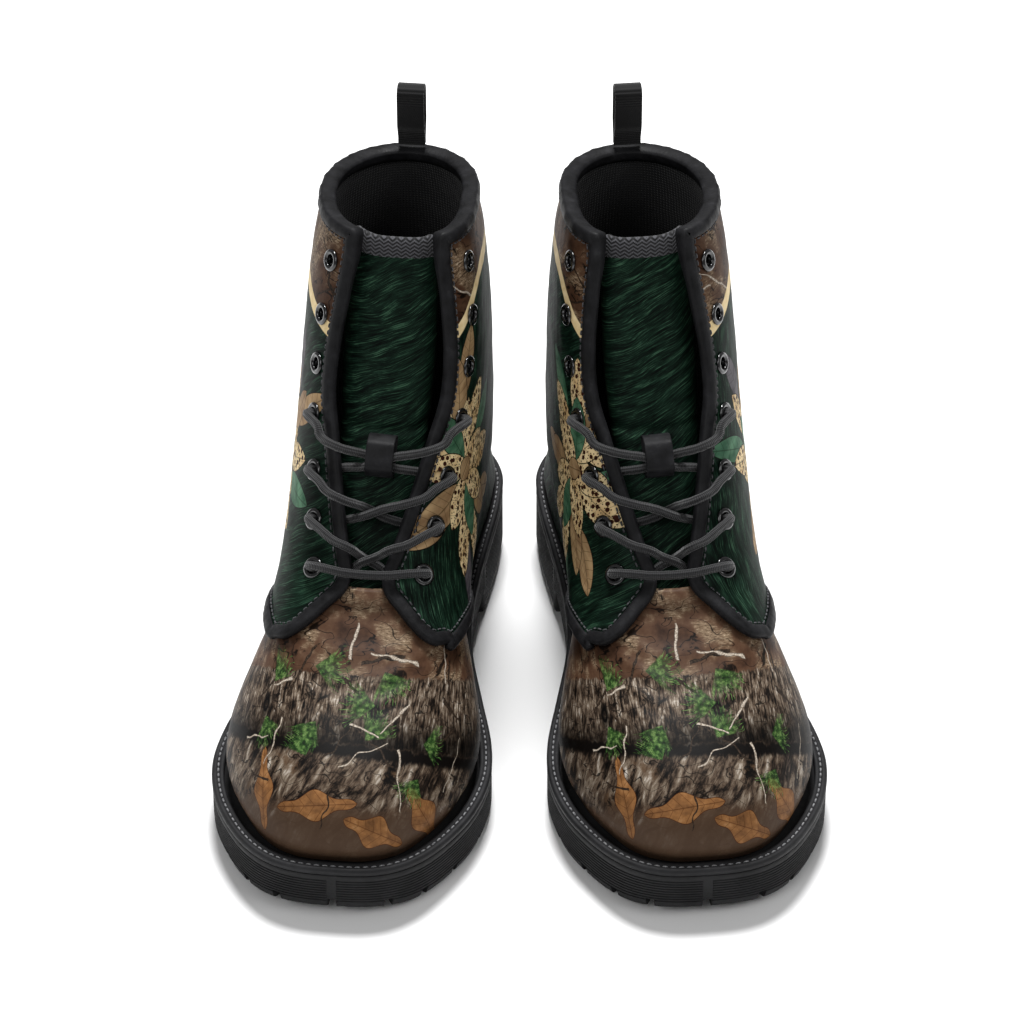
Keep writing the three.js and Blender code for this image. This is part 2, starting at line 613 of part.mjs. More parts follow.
const onSurface = (x, s, height) => lifted(frontT(Math.abs(x), s, x < 0 ? -1 : 1), s, height);
const eyeletPoint = (side, row, height) => {
  const { at, n } = eyeletFrame(side, row);
  return at.clone().addScaledVector(n, height);
};

// Clear width to either side.
const throatHalf = spline(THROAT_EDGE.slice(4).map(([x, s]) => [s, x - BINDING_EDGE]));

// One crossing from the inside of an eyelet, across the tongue, to the outside of the next one up on the
// other side.
function strand(side, row, onTop) {
  const [x0, s0] = EYELETS[row];
  const [x1, s1] = EYELETS[row + 1];
  const s = (u) => lerp(s0, s1, u);
  const rise = onTop ? [0.7, 1.7, 2.4] : [-2.75, -2.65, -2.1];
  return [
    eyeletPoint(side, row, UNDER),
    onSurface(side * (throatHalf(s(0.27)) + 2), s(0.27), UNDER - 0.4),
    onSurface(side * 3.6, s(0.42), rise[0]),
    onSurface(side * 0.01, s(0.5), rise[1]),
    onSurface(-side * 3.6, s(0.58), rise[2]),
    onSurface(-side * (throatHalf(s(0.69)) - 0.9), s(0.69), OVER_BINDING - 0.2),
    onSurface(-side * (throatHalf(s(0.78)) + 4.5), s(0.78), OVER_BINDING),
    onSurface(-side * (x1 - 5.5), s(0.91), OVER_BINDING - 0.1),
    eyeletPoint(-side, row + 1, OVER),
    eyeletPoint(-side, row + 1, -0.9),
  ];
}

const LACED_ROWS = 4;
// The free ends hang inside the shaft and lie forward on the footbed: [t, s, height].
const TAIL = [[2.25, 0.64, -6.5], [2.05, 0.55, -8], [1.9, 0.44, -9], [1.85, 0.33, -10],
  [1.95, 0.22, -11], [2.15, 0.16, -12]];

function laceRoute() {
  const half = (side, firstOnTop) => {
    const points = [];
    let at = side;
    for (let row = 0; row < LACED_ROWS - 1; row += 1) {
      points.push(...strand(at, row, at === -1 ? firstOnTop : !firstOnTop));
      at = -at;
    }
    points.push(eyeletPoint(at, LACED_ROWS - 1, UNDER - 0.6),
      ...TAIL.map(([t, s, height]) => lifted(at * t, s, height)));
    return points;
  };
  const bar = [-0.9, OVER].map((height) => eyeletPoint(1, 0, height));
  for (const x of [15, 8, -8, -15]) bar.push(onSurface(x, EYELETS[0][1] + 0.006, OVER_BINDING + 0.4));
  bar.push(...[OVER, -0.9].map((height) => eyeletPoint(-1, 0, height)));
  return [...half(1, true).reverse(), ...bar, ...half(-1, true)];
}

// A round tube through the given points, with a ring of sides at each.
function tube(points, radius, sides) {
  const frames = [];
  let up = V(0, 0, 1);
  points.forEach((at, i) => {
    const after = points[Math.min(i + 1, points.length - 1)];
    const along = after.clone().sub(points[Math.max(i - 1, 0)]).normalize();
    up = up.clone().addScaledVector(along, -up.dot(along)).normalize();
    frames.push({ at, side: along.clone().cross(up).normalize(), up });
  });
  const section = Array.from({ length: sides }, (_, k) => {
    const a = (2 * Math.PI * k) / sides;
    return [radius * Math.cos(a), radius * Math.sin(a)];
  });
  return sweep(frames, section);
}

const lace = () => tube(laceRoute(), LACE_RADIUS, 8);

// ---------------------------------------------------------------- materials
const finish = (color, roughness, metalness = 0) => new THREE.MeshStandardMaterial({ color, roughness,
  metalness });
const MATERIALS = {
  rubber: finish(0x1c1c1d, 0.75),
  camo: finish(0x6a5a4a, 0.5),
  green: finish(0x12241c, 0.55),
  binding: finish(0x1d1d20, 0.6),
  webbing: finish(0x0b0b0c, 0.85),
  mesh: finish(0x0a0a0b, 0.9),
  lace: finish(0x141414, 0.8),
  eyelet: finish(0x0c0c0e, 0.25, 0.6),
  board: finish(0x8a7a60, 0.9),
  foam: finish(0x18181a, 0.95),
};

// ---------------------------------------------------------------- assembly
function bootPieces() {
  const pieces = [
    ["outsole", outsole(), "rubber"],
    ["welt", welt(), "rubber"],
    ["insole_board", insoleBoard(), "board"],
    ["footbed", footbed(), "foam"],
    ["vamp", vamp(), "camo"],
    ["quarter_inner", quarter(1), "green"],
    ["quarter_outer", quarter(-1), "green"],
    ["heel_counter", heelCounter(), "board"],
    ["lining", lining(), "mesh"],
    ["tongue_base", tongueBase(), "green"],
    ["tongue_top", tongueTop(), "green"],
    ["tongue_rim", tongueRim(), "webbing"],
    ["lace_keeper", laceKeeper(), "binding"],
    ["collar_binding", collarBinding(), "binding"],
    ["pull_loop", pullLoop(), "webbing"],
    ["lace", lace(), "lace"],
  ];
  return pieces;
}

const PIECES = bootPieces();
const EYELET_SHAPE = eyelet();

function boot(prefix) {
  const group = new THREE.Group();
  for (const [name, geometry, material] of PIECES) {
    const mesh = new THREE.Mesh(geometry, MATERIALS[material]);
    mesh.name = `${prefix}_${name}`;
    group.add(mesh);
  }
  for (const [side, word] of [[1, "inner"], [-1, "outer"]]) {
    for (let row = 0; row < EYELET_ROWS; row += 1) {
      const { at, n } = eyeletFrame(side, row);
      const mesh = new THREE.Mesh(EYELET_SHAPE, MATERIALS.eyelet);
      mesh.name = `${prefix}_eyelet_${word}_${row + 1}`;
      mesh.position.copy(at);
      mesh.quaternion.setFromUnitVectors(upright, n);
      group.add(mesh);
    }
  }
  group.rotation.z = -TOE_OUT;
  group.position.x = -BOOT_OFFSET_X;
  return group;
}

const pair = new THREE.Group();
const mirrored = new THREE.Group();
mirrored.scale.x = -1;
mirrored.add(boot("left"));
pair.add(boot("right"), mirrored);

export default pair;
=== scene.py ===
"""A pair of insulated lace-up hunting boots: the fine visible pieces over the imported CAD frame."""
import json
import math

import bpy
import numpy as np
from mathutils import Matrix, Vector, kdtree

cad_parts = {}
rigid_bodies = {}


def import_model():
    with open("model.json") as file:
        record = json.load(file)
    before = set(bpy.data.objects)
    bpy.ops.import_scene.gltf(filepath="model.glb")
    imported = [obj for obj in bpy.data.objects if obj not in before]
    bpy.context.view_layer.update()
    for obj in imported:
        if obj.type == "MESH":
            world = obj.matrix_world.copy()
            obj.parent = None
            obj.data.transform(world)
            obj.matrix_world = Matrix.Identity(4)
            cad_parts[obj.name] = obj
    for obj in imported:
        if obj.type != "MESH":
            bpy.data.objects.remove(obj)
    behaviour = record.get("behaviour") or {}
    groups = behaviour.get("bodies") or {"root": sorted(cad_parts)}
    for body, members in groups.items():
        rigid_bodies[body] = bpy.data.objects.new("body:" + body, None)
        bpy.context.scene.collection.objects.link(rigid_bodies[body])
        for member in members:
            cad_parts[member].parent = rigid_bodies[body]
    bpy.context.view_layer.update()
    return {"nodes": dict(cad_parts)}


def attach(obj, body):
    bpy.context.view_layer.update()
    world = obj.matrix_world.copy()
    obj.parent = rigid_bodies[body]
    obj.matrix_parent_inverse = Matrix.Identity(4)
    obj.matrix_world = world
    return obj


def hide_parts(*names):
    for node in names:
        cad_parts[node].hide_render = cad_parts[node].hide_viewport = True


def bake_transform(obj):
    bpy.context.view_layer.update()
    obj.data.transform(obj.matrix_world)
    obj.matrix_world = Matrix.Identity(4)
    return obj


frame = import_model()

# ---------------------------------------------------------------- driving dimensions, in millimetres
MM = 0.001
SOLE_LENGTH = 292.0
SOLE_HALF = SOLE_LENGTH / 2
BOOT_OFFSET_X = 58.0
TOE_OUT = math.radians(6)
UPPER_INSET = 9.0
WELT_WIDTH = 5.1
WELT_LIFT = 0.3
QUARTER_TOP = 2.4
QUARTER_UNDER = 1.2
LINING_THICKNESS = 1.4
EDGE_OUT = 1.6  # how far the binding reaches past a panel's edge
BINDING_WIDTH = 3.6
LACE_RADIUS = 1.9
EYELET_HOLE = 2.35
EYELET_FLANGE = 4.7
TONGUE_THICKNESS = 3.6
SEAM_S = 0.735  # the tongue's seam, where its free top bends


# ---------------------------------------------------------------- curves
def spline(knots):
    """A smooth curve through knots [x, y], held flat past its ends."""
    x, y = np.array(knots, float).T
    slopes = np.diff(y) / np.diff(x)
    tangents = 0.5 * np.concatenate([[slopes[0]], slopes[:-1] + slopes[1:], [slopes[-1]]])

    def curve(at):
        at = np.clip(np.asarray(at, float), x[0], x[-1])
        i = np.clip(np.searchsorted(x, at, side="left") - 1, 0, len(x) - 2)
        width = x[i + 1] - x[i]
        u = (at - x[i]) / width
        a, b = y[i], y[i + 1]
        ta, tb = tangents[i] * width, tangents[i + 1] * width
        return a + u * (ta + u * (3 * (b - a) - 2 * ta - tb + u * (2 * (a - b) + ta + tb)))

    return curve


def smoothstep(x, low, high):
    u = np.clip((np.asarray(x, float) - low) / (high - low), 0, 1)
    return u * u * (3 - 2 * u)


def lerp(a, b, u):
    return a + (b - a) * u


# ---------------------------------------------------------------- the sole's outline and levels
sole_girth = spline([[0, 55.5], [0.1, 53.5], [0.17, 47.3], [0.27, 40.6], [0.4, 38], [0.5, 41],
                     [0.6, 48.8], [0.7, 57.6], [0.77, 61.6], [0.85, 61.8], [0.92, 59], [1, 57]])
sole_middle = spline([[0, 0], [0.25, 0], [0.45, -2.5], [0.7, -3.2], [0.9, -3.3], [1, -2.6]])
sole_top = spline([[-147, 23], [-118, 20.5], [-80, 20], [-32, 21.5], [17, 26], [57, 30.5], [97, 33], [147, 34]])
forepart_bottom = spline([[-147, 5.6], [-135, 3], [-120, 1.2], [-98, 0], [2, 0], [19, 4], [42, 10], [58, 12]])
HEEL_BREAST_Y = 58.0


def sole_bottom(y):
    rise = np.maximum(forepart_bottom(y), 0)
    return rise * np.clip((HEEL_BREAST_Y + 1.5 - np.asarray(y)) / 1.5, 0, 1)


def end_power(v):
    return 2.4 + 0.55 * v


def round_end(c, power):
    return (1 - np.abs(c) ** power).clip(0) ** (1 / power)


def outline(theta, side, inset):
    c = np.cos(theta)
    v = (1 - c) / 2
    half = round_end(c, end_power(v)) * (sole_girth(v) - inset)
    return np.stack([sole_middle(v) + side * half, (SOLE_HALF - inset) * c], -1)


# ---------------------------------------------------------------- the upper's base surface
front_y = spline([[0, -137.8], [0.06, -139.4], [0.12, -135.7], [0.18, -126.5], [0.26, -109], [0.36, -83],
                  [0.45, -56], [0.52, -38], [0.62, -17], [0.75, 3], [0.88, 18], [1, 30]])
front_z = spline([[0, 22.5], [0.06, 33], [0.12, 45], [0.18, 55], [0.26, 64], [0.36, 74],
                  [0.45, 86], [0.52, 99], [0.62, 124], [0.75, 156], [0.88, 187], [1, 214]])
back_y = spline([[0, 137.8], [0.12, 140], [0.3, 139.5], [0.5, 134], [0.7, 126], [0.85, 119], [1, 114]])
back_z = spline([[0, 34.3], [0.12, 47], [0.3, 70], [0.5, 100], [0.7, 135], [0.85, 168], [1, 202.5]])
shaft_half = spline([[0.2, 38.5], [0.35, 38.3], [0.5, 38], [0.65, 37], [0.8, 35.5], [0.92, 32.6], [1, 29]])
side_bulge = spline([[0, 0], [0.025, 0.2], [0.07, 2.6], [0.14, 1.7], [0.25, -2.2], [0.5, -5.4]])
shaft_lean = spline([[0, 0.9], [0.5, 0.6], [0.8, 2.8], [1, 5]])


def base(t, s):
    """The upper's surface: s from the sole to the collar, t from the back seam round to the front at pi."""
    t = np.asarray(t, float)
    s = np.asarray(s, float)
    t = np.where(t > math.pi, t - 2 * math.pi, np.where(t < -math.pi, t + 2 * math.pi, t))
    side = np.where(t < 0, -1.0, 1.0)
    c = np.cos(t)
    v = (1 - c) / 2
    low = 1 - smoothstep(s, 0.03, 0.45)
    half = low * (sole_girth(v) - UPPER_INSET + side_bulge(s)) + (1 - low) * shaft_half(s)
    y = lerp(back_y(s), front_y(s), v)
    flat = lerp(back_z(0), front_z(0), v)
    settle = 1 - smoothstep(s, 0, 0.3)
    middle = sole_middle(v) * (1 - np.clip(s, 0, 1)) ** 2 + shaft_lean(v) * smoothstep(s, 0.35, 0.97)
    x = middle + side * round_end(c, end_power(v) - 0.35 * s) * half
    z = lerp(back_z(s), front_z(s), v) + (sole_top(y) + 0.9 - flat) * settle
    return np.stack(np.broadcast_arrays(x, y, z), -1)


def normal(t, s):
    step = 0.012
    around = base(t + step, s) - base(t - step, s)
    up = base(t, np.minimum(s + step, 1.02)) - base(t, np.maximum(s - step, 0))
    out = np.cross(up, around)
    return out / np.linalg.norm(out, axis=-1, keepdims=True)


def lifted(t, s, height):
    t, s, height = np.broadcast_arrays(np.asarray(t, float), np.asarray(s, float), np.asarray(height, float))
    return base(t, s) + normal(t, s) * height[..., None]


def front_t(x, s, side):
    """The t on the front half where the surface at s is x away from its front middle."""
    x, s, side = np.broadcast_arrays(*(np.asarray(value, float) for value in (x, s, side)))
    middle = base(np.full(s.shape, math.pi), s)[..., 0]
    low = np.full(s.shape, math.pi / 2)
    high = np.full(s.shape, math.pi)
    for _ in range(30):
        half = (low + high) / 2
        far = side * (base(side * half, s)[..., 0] - middle) > x
        low = np.where(far, half, low)
        high = np.where(far, high, half)
    return side * low


# ---------------------------------------------------------------- placing and meshes
SIDES = {"right": 1, "left": -1}
collection = bpy.context.scene.collection


def place(points, boot):
    """A boot's own millimetres to the row frame's metres; the left boot is the right one's mirror image."""
    points = np.asarray(points, float)
    x, y, z = points[..., 0], points[..., 1], points[..., 2]
    c, s = math.cos(TOE_OUT), math.sin(TOE_OUT)
    world = np.stack([x * c + y * s - BOOT_OFFSET_X, y * c - x * s, z], -1) * MM
    world[..., 0] *= SIDES[boot]
    return world


def make(name, points, faces, boot, material, attributes=None, smooth=True):
    """A mesh object in its place. attributes holds vectors per point, named as the materials read them."""
    faces = [tuple(face) for face in faces]
    if boot == "left":
        faces = [face[::-1] for face in faces]
    mesh = bpy.data.meshes.new(name)
    mesh.from_pydata(place(points, boot).tolist(), [], faces)
    for key, values in (attributes or {}).items():
        layer = mesh.attributes.new(key, "FLOAT_VECTOR", "POINT")
        layer.data.foreach_set("vector", np.asarray(values, np.float32).ravel())
    mesh.materials.append(material)
    mesh.polygons.foreach_set("use_smooth", [smooth] * len(mesh.polygons))
    mesh.validate()
    made = bpy.data.objects.new(name, mesh)
    collection.objects.link(made)
    return made


def shell_faces(n, m, looped=False):
    """Faces of a closed sheet: points are the outer skin's n by m grid, then the inner skin's."""
    skin = n * m
    faces = []
    ends = n if looped else n - 1
    for i in range(ends):
        j = (i + 1) % n
        for k in range(m - 1):
            a, b, c, d = i * m + k, j * m + k, j * m + k + 1, i * m + k + 1
            faces.append((a, b, c, d))
            faces.append((skin + a, skin + d, skin + c, skin + b))
        faces.append((i * m, skin + i * m, skin + j * m, j * m))
        top = m - 1
        faces.append((i * m + top, j * m + top, skin + j * m + top, skin + i * m + top))
    if not looped:
        last = (n - 1) * m
        for k in range(m - 1):
            faces.append((k, k + 1, skin + k + 1, skin + k))
            faces.append((last + k, skin + last + k, skin + last + k + 1, last + k + 1))
    return faces


def facing_out(points, faces):
    """The faces, turned over if they enclose a negative volume."""
    points = np.asarray(points)
    triangles = np.array([(face[0], face[k], face[k + 1]) for face in faces for k in range(1, len(face) - 1)])
    a, b, c = (points[triangles[:, k]] for k in range(3))
    volume = (a * np.cross(b, c)).sum()
    return faces if volume > 0 else [face[::-1] for face in faces]


def shell(name, outer, inner, boot, material, attributes=None, looped=False):
    n, m = outer.shape[:2]
    points = np.concatenate([outer.reshape(-1, 3), inner.reshape(-1, 3)])
    both = {key: np.concatenate([value.reshape(-1, 3)] * 2) for key, value in (attributes or {}).items()}
    faces = facing_out(points, shell_faces(n, m, looped))
    return make(name, points, faces, boot, material, both)


def frames_along(path, ups, looped=False):
    """Unit vectors (side, up) square to a path, with up as near the given ups as it can be."""
    path = np.asarray(path, float)
    if looped:
        along = np.roll(path, -1, 0) - np.roll(path, 1, 0)
    else:
        along = np.gradient(path, axis=0)
    along /= np.linalg.norm(along, axis=1, keepdims=True)
    side = np.cross(ups, along)
    side /= np.linalg.norm(side, axis=1, keepdims=True)
    return side, np.cross(along, side)


def sweep(name, path, ups, sections, boot, material, looped=False, attributes=None):
    """A closed section carried along a path. sections is one list of (side, up) or one per path point."""
    side, up = frames_along(path, ups, looped)
    sections = np.asarray(sections, float)
    if sections.ndim == 2:
        sections = np.repeat(sections[None], len(path), 0)
    count, n = sections.shape[:2]
    points = (path[:, None] + sections[..., :1] * side[:, None] + sections[..., 1:] * up[:, None]).reshape(-1, 3)
    faces = []
    for i in range(count if looped else count - 1):
        j = (i + 1) % count
        for k in range(n):
            after = (k + 1) % n
            faces.append((i * n + k, i * n + after, j * n + after, j * n + k))
    if not looped:
        faces.append(tuple(range(n))[::-1])
        faces.append(tuple((count - 1) * n + k for k in range(n)))
    return make(name, points, facing_out(points, faces), boot, material, attributes)


def lengths(path):
    steps = np.linalg.norm(np.diff(path, axis=0), axis=1)
    return np.concatenate([[0], np.cumsum(steps)])


def resampled(path, count, looped=False):
    """The path's points at even distances."""
    path = np.asarray(path, float)
    if looped:
        path = np.vstack([path, path[:1]])
    along = lengths(path)
    at = np.linspace(0, along[-1], count, endpoint=not looped)
    return np.stack([np.interp(at, along, path[:, k]) for k in range(path.shape[1])], 1)


def smoothed(points, count, rounds=2):
    """A smooth curve through a list of points, at even distances."""
    points = np.asarray(points, float)
    knots = np.concatenate([[0], np.cumsum(np.linalg.norm(np.diff(points, axis=0), axis=1))])
    curves = [spline(np.stack([knots, points[:, k]], 1).tolist()) for k in range(3)]
    at = np.linspace(0, knots[-1], count * 2)
    dense = np.stack([curve(at) for curve in curves], 1)
    for _ in range(rounds):
        dense[1:-1] = (dense[:-2] + 2 * dense[1:-1] + dense[2:]) / 4
    return resampled(dense, count)


def stitches(name, path, ups, boot, material, pitch=3.6, length=2.3, radius=0.42, sunk=0.1):
    """A row of short thread stitches lying along a path."""
    total = lengths(path)[-1]
    count = max(int(total / pitch), 2)
    fine = resampled(np.hstack([path, ups]), count * 6)
    line, lift = fine[:, :3], fine[:, 3:]
    lift /= np.linalg.norm(lift, axis=1, keepdims=True)
    side, up = frames_along(line, lift)
    along = np.cross(side, up)
    points, faces, sides = [], [], 6
    rings = [(-0.5, 0.45), (-0.36, 0.9), (0.0, 1.0), (0.36, 0.9), (0.5, 0.45)]
    for i in range(3, count * 6 - 3, 6):
        first = len(points)
        for offset, girth in rings:
            bow = radius * (0.55 - 2.2 * offset * offset) - sunk
            centre = line[i] + along[i] * offset * length + up[i] * bow
            for k in range(sides):
                a = 2 * math.pi * k / sides
                points.append(centre + girth * radius * (side[i] * math.cos(a) + up[i] * math.sin(a)))
        for r in range(len(rings) - 1):
            for k in range(sides):
                a, b = first + r * sides + k, first + r * sides + (k + 1) % sides
                faces.append((a, b, b + sides, a + sides))
        faces.append(tuple(first + k for k in range(sides))[::-1])
        faces.append(tuple(first + (len(rings) - 1) * sides + k for k in range(sides)))
    return make(name, np.array(points), facing_out(points, faces), boot, material)


# ---------------------------------------------------------------- the quarters' free edge and the eyelets
SIDE_EDGE = [[1.28, 0], [1.37, 0.07], [1.53, 0.16], [1.75, 0.235], [2.02, 0.29], [2.22, 0.312], [2.3, 0.322]]
THROAT_EDGE = [[34, 0.338], [29, 0.372], [23, 0.41], [14.6, 0.456], [9.4, 0.48], [7.8, 0.503], [9.9, 0.531],
               [12.5, 0.566], [17, 0.637], [19.4, 0.68], [22.4, 0.735], [22.2, 0.8], [19.4, 0.89],
               [17, 0.952], [16.6, 1]]
EYELETS = [[21.5, 0.493], [23.5, 0.554], [25.7, 0.613], [28.2, 0.687], [28.9, 0.762], [28.4, 0.842], [25.7, 0.93]]
BACK_SEAM = 0.012
back_rise = spline([[0, 0], [0.24, 0.27], [0.36, 0.36], [0.5, 0.47], [0.7, 0.66], [1, 1]])


def quarter_edge(side):
    """The free edge on one side: t and s against the share of the way along it."""
    points = SIDE_EDGE + [[abs(float(front_t(x, s, side))), s] for x, s in THROAT_EDGE]
    t, s = np.array(points).T
    share = lengths(base(side * t, s))
    share /= share[-1]
    return spline(np.stack([share, t], 1).tolist()), spline(np.stack([share, s], 1).tolist())


EDGES = {side: quarter_edge(side) for side in (1, -1)}


def quarter_at(side, p, q):
    """The (t, s) of a quarter's point: p from the back seam to the free edge, q along the edge."""
    edge_t, edge_s = EDGES[side]
    t = side * lerp(BACK_SEAM, edge_t(q), p)
    return t, np.maximum(lerp(back_rise(q), edge_s(q), p), 0.004)


def eyelet_place(side, row):
    x, s = EYELETS[row]
    t = front_t(x, s, side)
    return base(t, s), normal(t, s)


# ---------------------------------------------------------------- sole unit
def even_thetas(count, inset=0.0):
    """Outline stations at even distances, from the heel to the toe."""
    theta = np.linspace(0.0015, math.pi - 0.0015, 6000)
    along = lengths(outline(theta, 1, inset))
    return np.interp(np.linspace(0, along[-1], count), along, theta)


RIBS = 9
RIB_DEPTH = 0.38


def wall_section():
    """(share of the height, inset) down the sole's side wall, with its fine ribs."""
    points = [(1.0, 0.7), (0.985, 0.2), (0.955, 0.0), (0.9, 0.0)]
    for i in range(RIBS):
        top = 0.86 - 0.66 * i / RIBS
        step = 0.66 / RIBS
        points += [(top, 0.1), (top - 0.2 * step, 0.1 + RIB_DEPTH), (top - 0.5 * step, 0.1 + RIB_DEPTH),
                   (top - 0.7 * step, 0.1)]
    return points + [(0.17, 0.5), (0.06, 1.1), (0.02, 1.7), (0.0, 2.6)]


def groove_box(x, y, length, width, turn):
    depth = 14.5
    middle = float(sole_bottom(y)) + 4.5 - depth / 2
    corners = np.array([[a, b, c] for a in (-0.5, 0.5) for b in (-0.5, 0.5) for c in (-0.5, 0.5)])
    corners *= [length, width, depth]
    c, s = math.cos(turn), math.sin(turn)
    turned = np.stack([corners[:, 0] * c - corners[:, 1] * s + x, corners[:, 0] * s + corners[:, 1] * c + y,
                       corners[:, 2] + middle], 1)
    return turned, [(0, 1, 3, 2), (4, 6, 7, 5), (0, 4, 5, 1), (2, 3, 7, 6), (0, 2, 6, 4), (1, 5, 7, 3)]


def tread_grooves():
    """The tread's cutting boxes: round the edge, and zigzags across the middle."""
    boxes = []
    for side in (-1, 1):
        for theta in (0.42, 0.78, 1.62, 1.84, 2.05, 2.26, 2.47, 2.69, 2.92):
            at = outline(theta, side, 0)
            along = outline(theta + 0.02, side, 0) - outline(theta - 0.02, side, 0)
            turn = math.atan2(along[1], along[0]) + math.pi / 2
            boxes.append(groove_box(at[0], at[1], 34, 3.4, turn))
        for y in (-100, -72, -44, -16, 92):
            boxes.append(groove_box(side * 9, y, 21, 3.4, side * 0.35))
    boxes.append(groove_box(float(outline(math.pi, 1, 0)[0]), -SOLE_HALF, 34, 3.4, math.pi / 2))
    boxes.append(groove_box(0, SOLE_HALF, 34, 3.4, math.pi / 2))
    return boxes


def cut(piece, tools, boot):
    """Takes closed solids, each (points, faces), out of a piece, and applies the cut."""
    group = bpy.data.collections.new(piece.name + "_tools")
    for i, (points, faces) in enumerate(tools):
        tool = make(f"{piece.name}_tool_{i}", points, facing_out(points, faces), boot, piece.data.materials[0],
                    smooth=False)
        collection.objects.unlink(tool)
        group.objects.link(tool)
    modifier = piece.modifiers.new("cut", "BOOLEAN")
    modifier.operand_type = "COLLECTION"
    modifier.collection = group
    modifier.solver = "EXACT"
    kept = attributes_of(piece.data)
    apply_modifiers(piece)
    give_attributes(piece.data, *kept)
    for tool in list(group.objects):
        bpy.data.objects.remove(tool)
    bpy.data.collections.remove(group)


def attributes_of(mesh):
    """Where a mesh's points are, and the vectors that its own attributes hold there."""
    places = np.zeros(len(mesh.vertices) * 3, np.float32)
    mesh.vertices.foreach_get("co", places)
    held = {}
    for name in ("pattern", "motif"):
        if name in mesh.attributes:
            values = np.zeros_like(places)
            mesh.attributes[name].data.foreach_get("vector", values)
            held[name] = values.reshape(-1, 3)
    return places.reshape(-1, 3), held


def give_attributes(mesh, places, held):
    """Gives each point the vectors of the nearest earlier point, because a cut drops them."""
    if not held:
        return
    tree = kdtree.KDTree(len(places))
    for i, at in enumerate(places):
        tree.insert(at, i)
    tree.balance()
    nearest = [tree.find(vertex.co)[1] for vertex in mesh.vertices]
    for name, values in held.items():
        layer = mesh.attributes.get(name) or mesh.attributes.new(name, "FLOAT_VECTOR", "POINT")
        layer.data.foreach_set("vector", values[nearest].ravel())


def apply_modifiers(piece):
    depsgraph = bpy.context.evaluated_depsgraph_get()
    depsgraph.update()
    mesh = bpy.data.meshes.new_from_object(piece.evaluated_get(depsgraph))
    piece.modifiers.clear()
    piece.data = mesh


def outsole(boot):
    breast = math.acos(HEEL_BREAST_Y / (SOLE_HALF - 2))
    thetas = np.sort(np.concatenate([even_thetas(150), [breast - 0.012, breast + 0.012]]))
    thetas = np.clip(thetas, 0.006, math.pi - 0.006)  # both ends stay a little open, so that no face is empty
    section = wall_section()
    rings = []
    for side, rows in ((1, section[::-1]), (-1, section)):
        for share, inset in rows:
            plan = outline(thetas, side, inset)
            z = lerp(sole_bottom(plan[:, 1]), sole_top(plan[:, 1]), share)
            rings.append(np.column_stack([plan, z]))
    points = np.stack(rings, 1)
    count, n = points.shape[:2]
    faces = []
    for i in range(count - 1):
        for k in range(n):
            after = (k + 1) % n
            faces.append((i * n + k, i * n + after, (i + 1) * n + after, (i + 1) * n + k))
    faces.append(tuple(range(n))[::-1])
    faces.append(tuple((count - 1) * n + k for k in range(n)))
    points = points.reshape(-1, 3)
    piece = make(f"{boot}_outsole_fine", points, facing_out(points, faces), boot, MATERIALS["rubber"])
    cut(piece, tread_grooves(), boot)
    soften(piece, 32)
    return piece


def soften(piece, degrees):
    """Smooth shading that stays sharp at edges past an angle."""
    mesh = piece.data
    mesh.polygons.foreach_set("use_smooth", [True] * len(mesh.polygons))
    mesh.set_sharp_from_angle(angle=math.radians(degrees))


def rim_loop(count, inset):
    """A closed loop over the sole's rim, set in from the outline."""
    thetas = even_thetas(count)
    plan = np.vstack([outline(thetas, 1, inset), outline(thetas, -1, inset)[::-1]])
    return np.column_stack([plan, sole_top(plan[:, 1]) + WELT_LIFT])


WELT_SECTION = [(0.0, 0.1), (-0.15, 1.7), (0.12, 2.5), (0.6, 2.95), (2.0, 3.0), (2.35, 2.5), (2.9, 2.45),
                (3.3, 2.95), (4.4, 3.0), (4.95, 2.7), (5.1, 2.2), (5.1, 0.1)]


def welt(boot):
    path = rim_loop(190, 0)
    ups = np.tile([0.0, 0.0, 1.0], (len(path), 1))
    side, _ = frames_along(path, ups, True)
    inwards = np.array([0, 0, 0]) - path
    turn = np.sign((side * inwards).sum(1).mean())
    section = [(turn * a, b) for a, b in WELT_SECTION]
    return sweep(f"{boot}_welt_fine", path, ups, section, boot, MATERIALS["welt"], looped=True)


def welt_stitches(boot):
    path = rim_loop(300, 2.62)
    path[:, 2] += 2.6
    path = np.vstack([path, path[:1]])
    ups = np.tile([0.0, 0.0, 1.0], (len(path), 1))
    return stitches(f"{boot}_welt_stitches", path, ups, boot, MATERIALS["pale_thread"], pitch=3.3, length=2.3,
                    radius=0.45)


# ---------------------------------------------------------------- upper panels
VAMP_REACH = 14 * math.pi / 22  # the vamp's half width, as an angle from the front
vamp_top = spline([[0, 0.487], [0.25, 0.487], [0.5, 0.47], [0.85, 0.42], [1.15, 0.37], [1.6, 0.25], [2, 0.12]])


def ripple(points, size, seed):
    """Soft unevenness of hand-lasted leather, in millimetres, from a few slow waves."""
    total = 0
    for i, (scale, share) in enumerate(((0.035, 1.0), (0.062, 0.6), (0.11, 0.3))):
        turn = seed + 1.7 * i
        axis = np.array([math.cos(turn), math.sin(turn), math.cos(2.3 * turn)])
        cross = np.array([math.sin(3.1 * turn), math.cos(1.3 * turn), math.sin(turn)])
        total = total + share * np.sin(points @ axis * scale * 2 * math.pi + seed) * np.cos(
            points @ cross * scale * 2 * math.pi + 2 * seed)
    return total * size


def creases(away, s):
    """Faint folds across the vamp where the foot bends."""
    band = smoothstep(s, 0.27, 0.34) * (1 - smoothstep(s, 0.4, 0.47)) * (1 - smoothstep(np.abs(away), 0.5, 1.1))
    return -0.35 * band * (0.5 + 0.5 * np.cos(s * 2 * math.pi * 26 + 0.8 * np.cos(away * 5)))


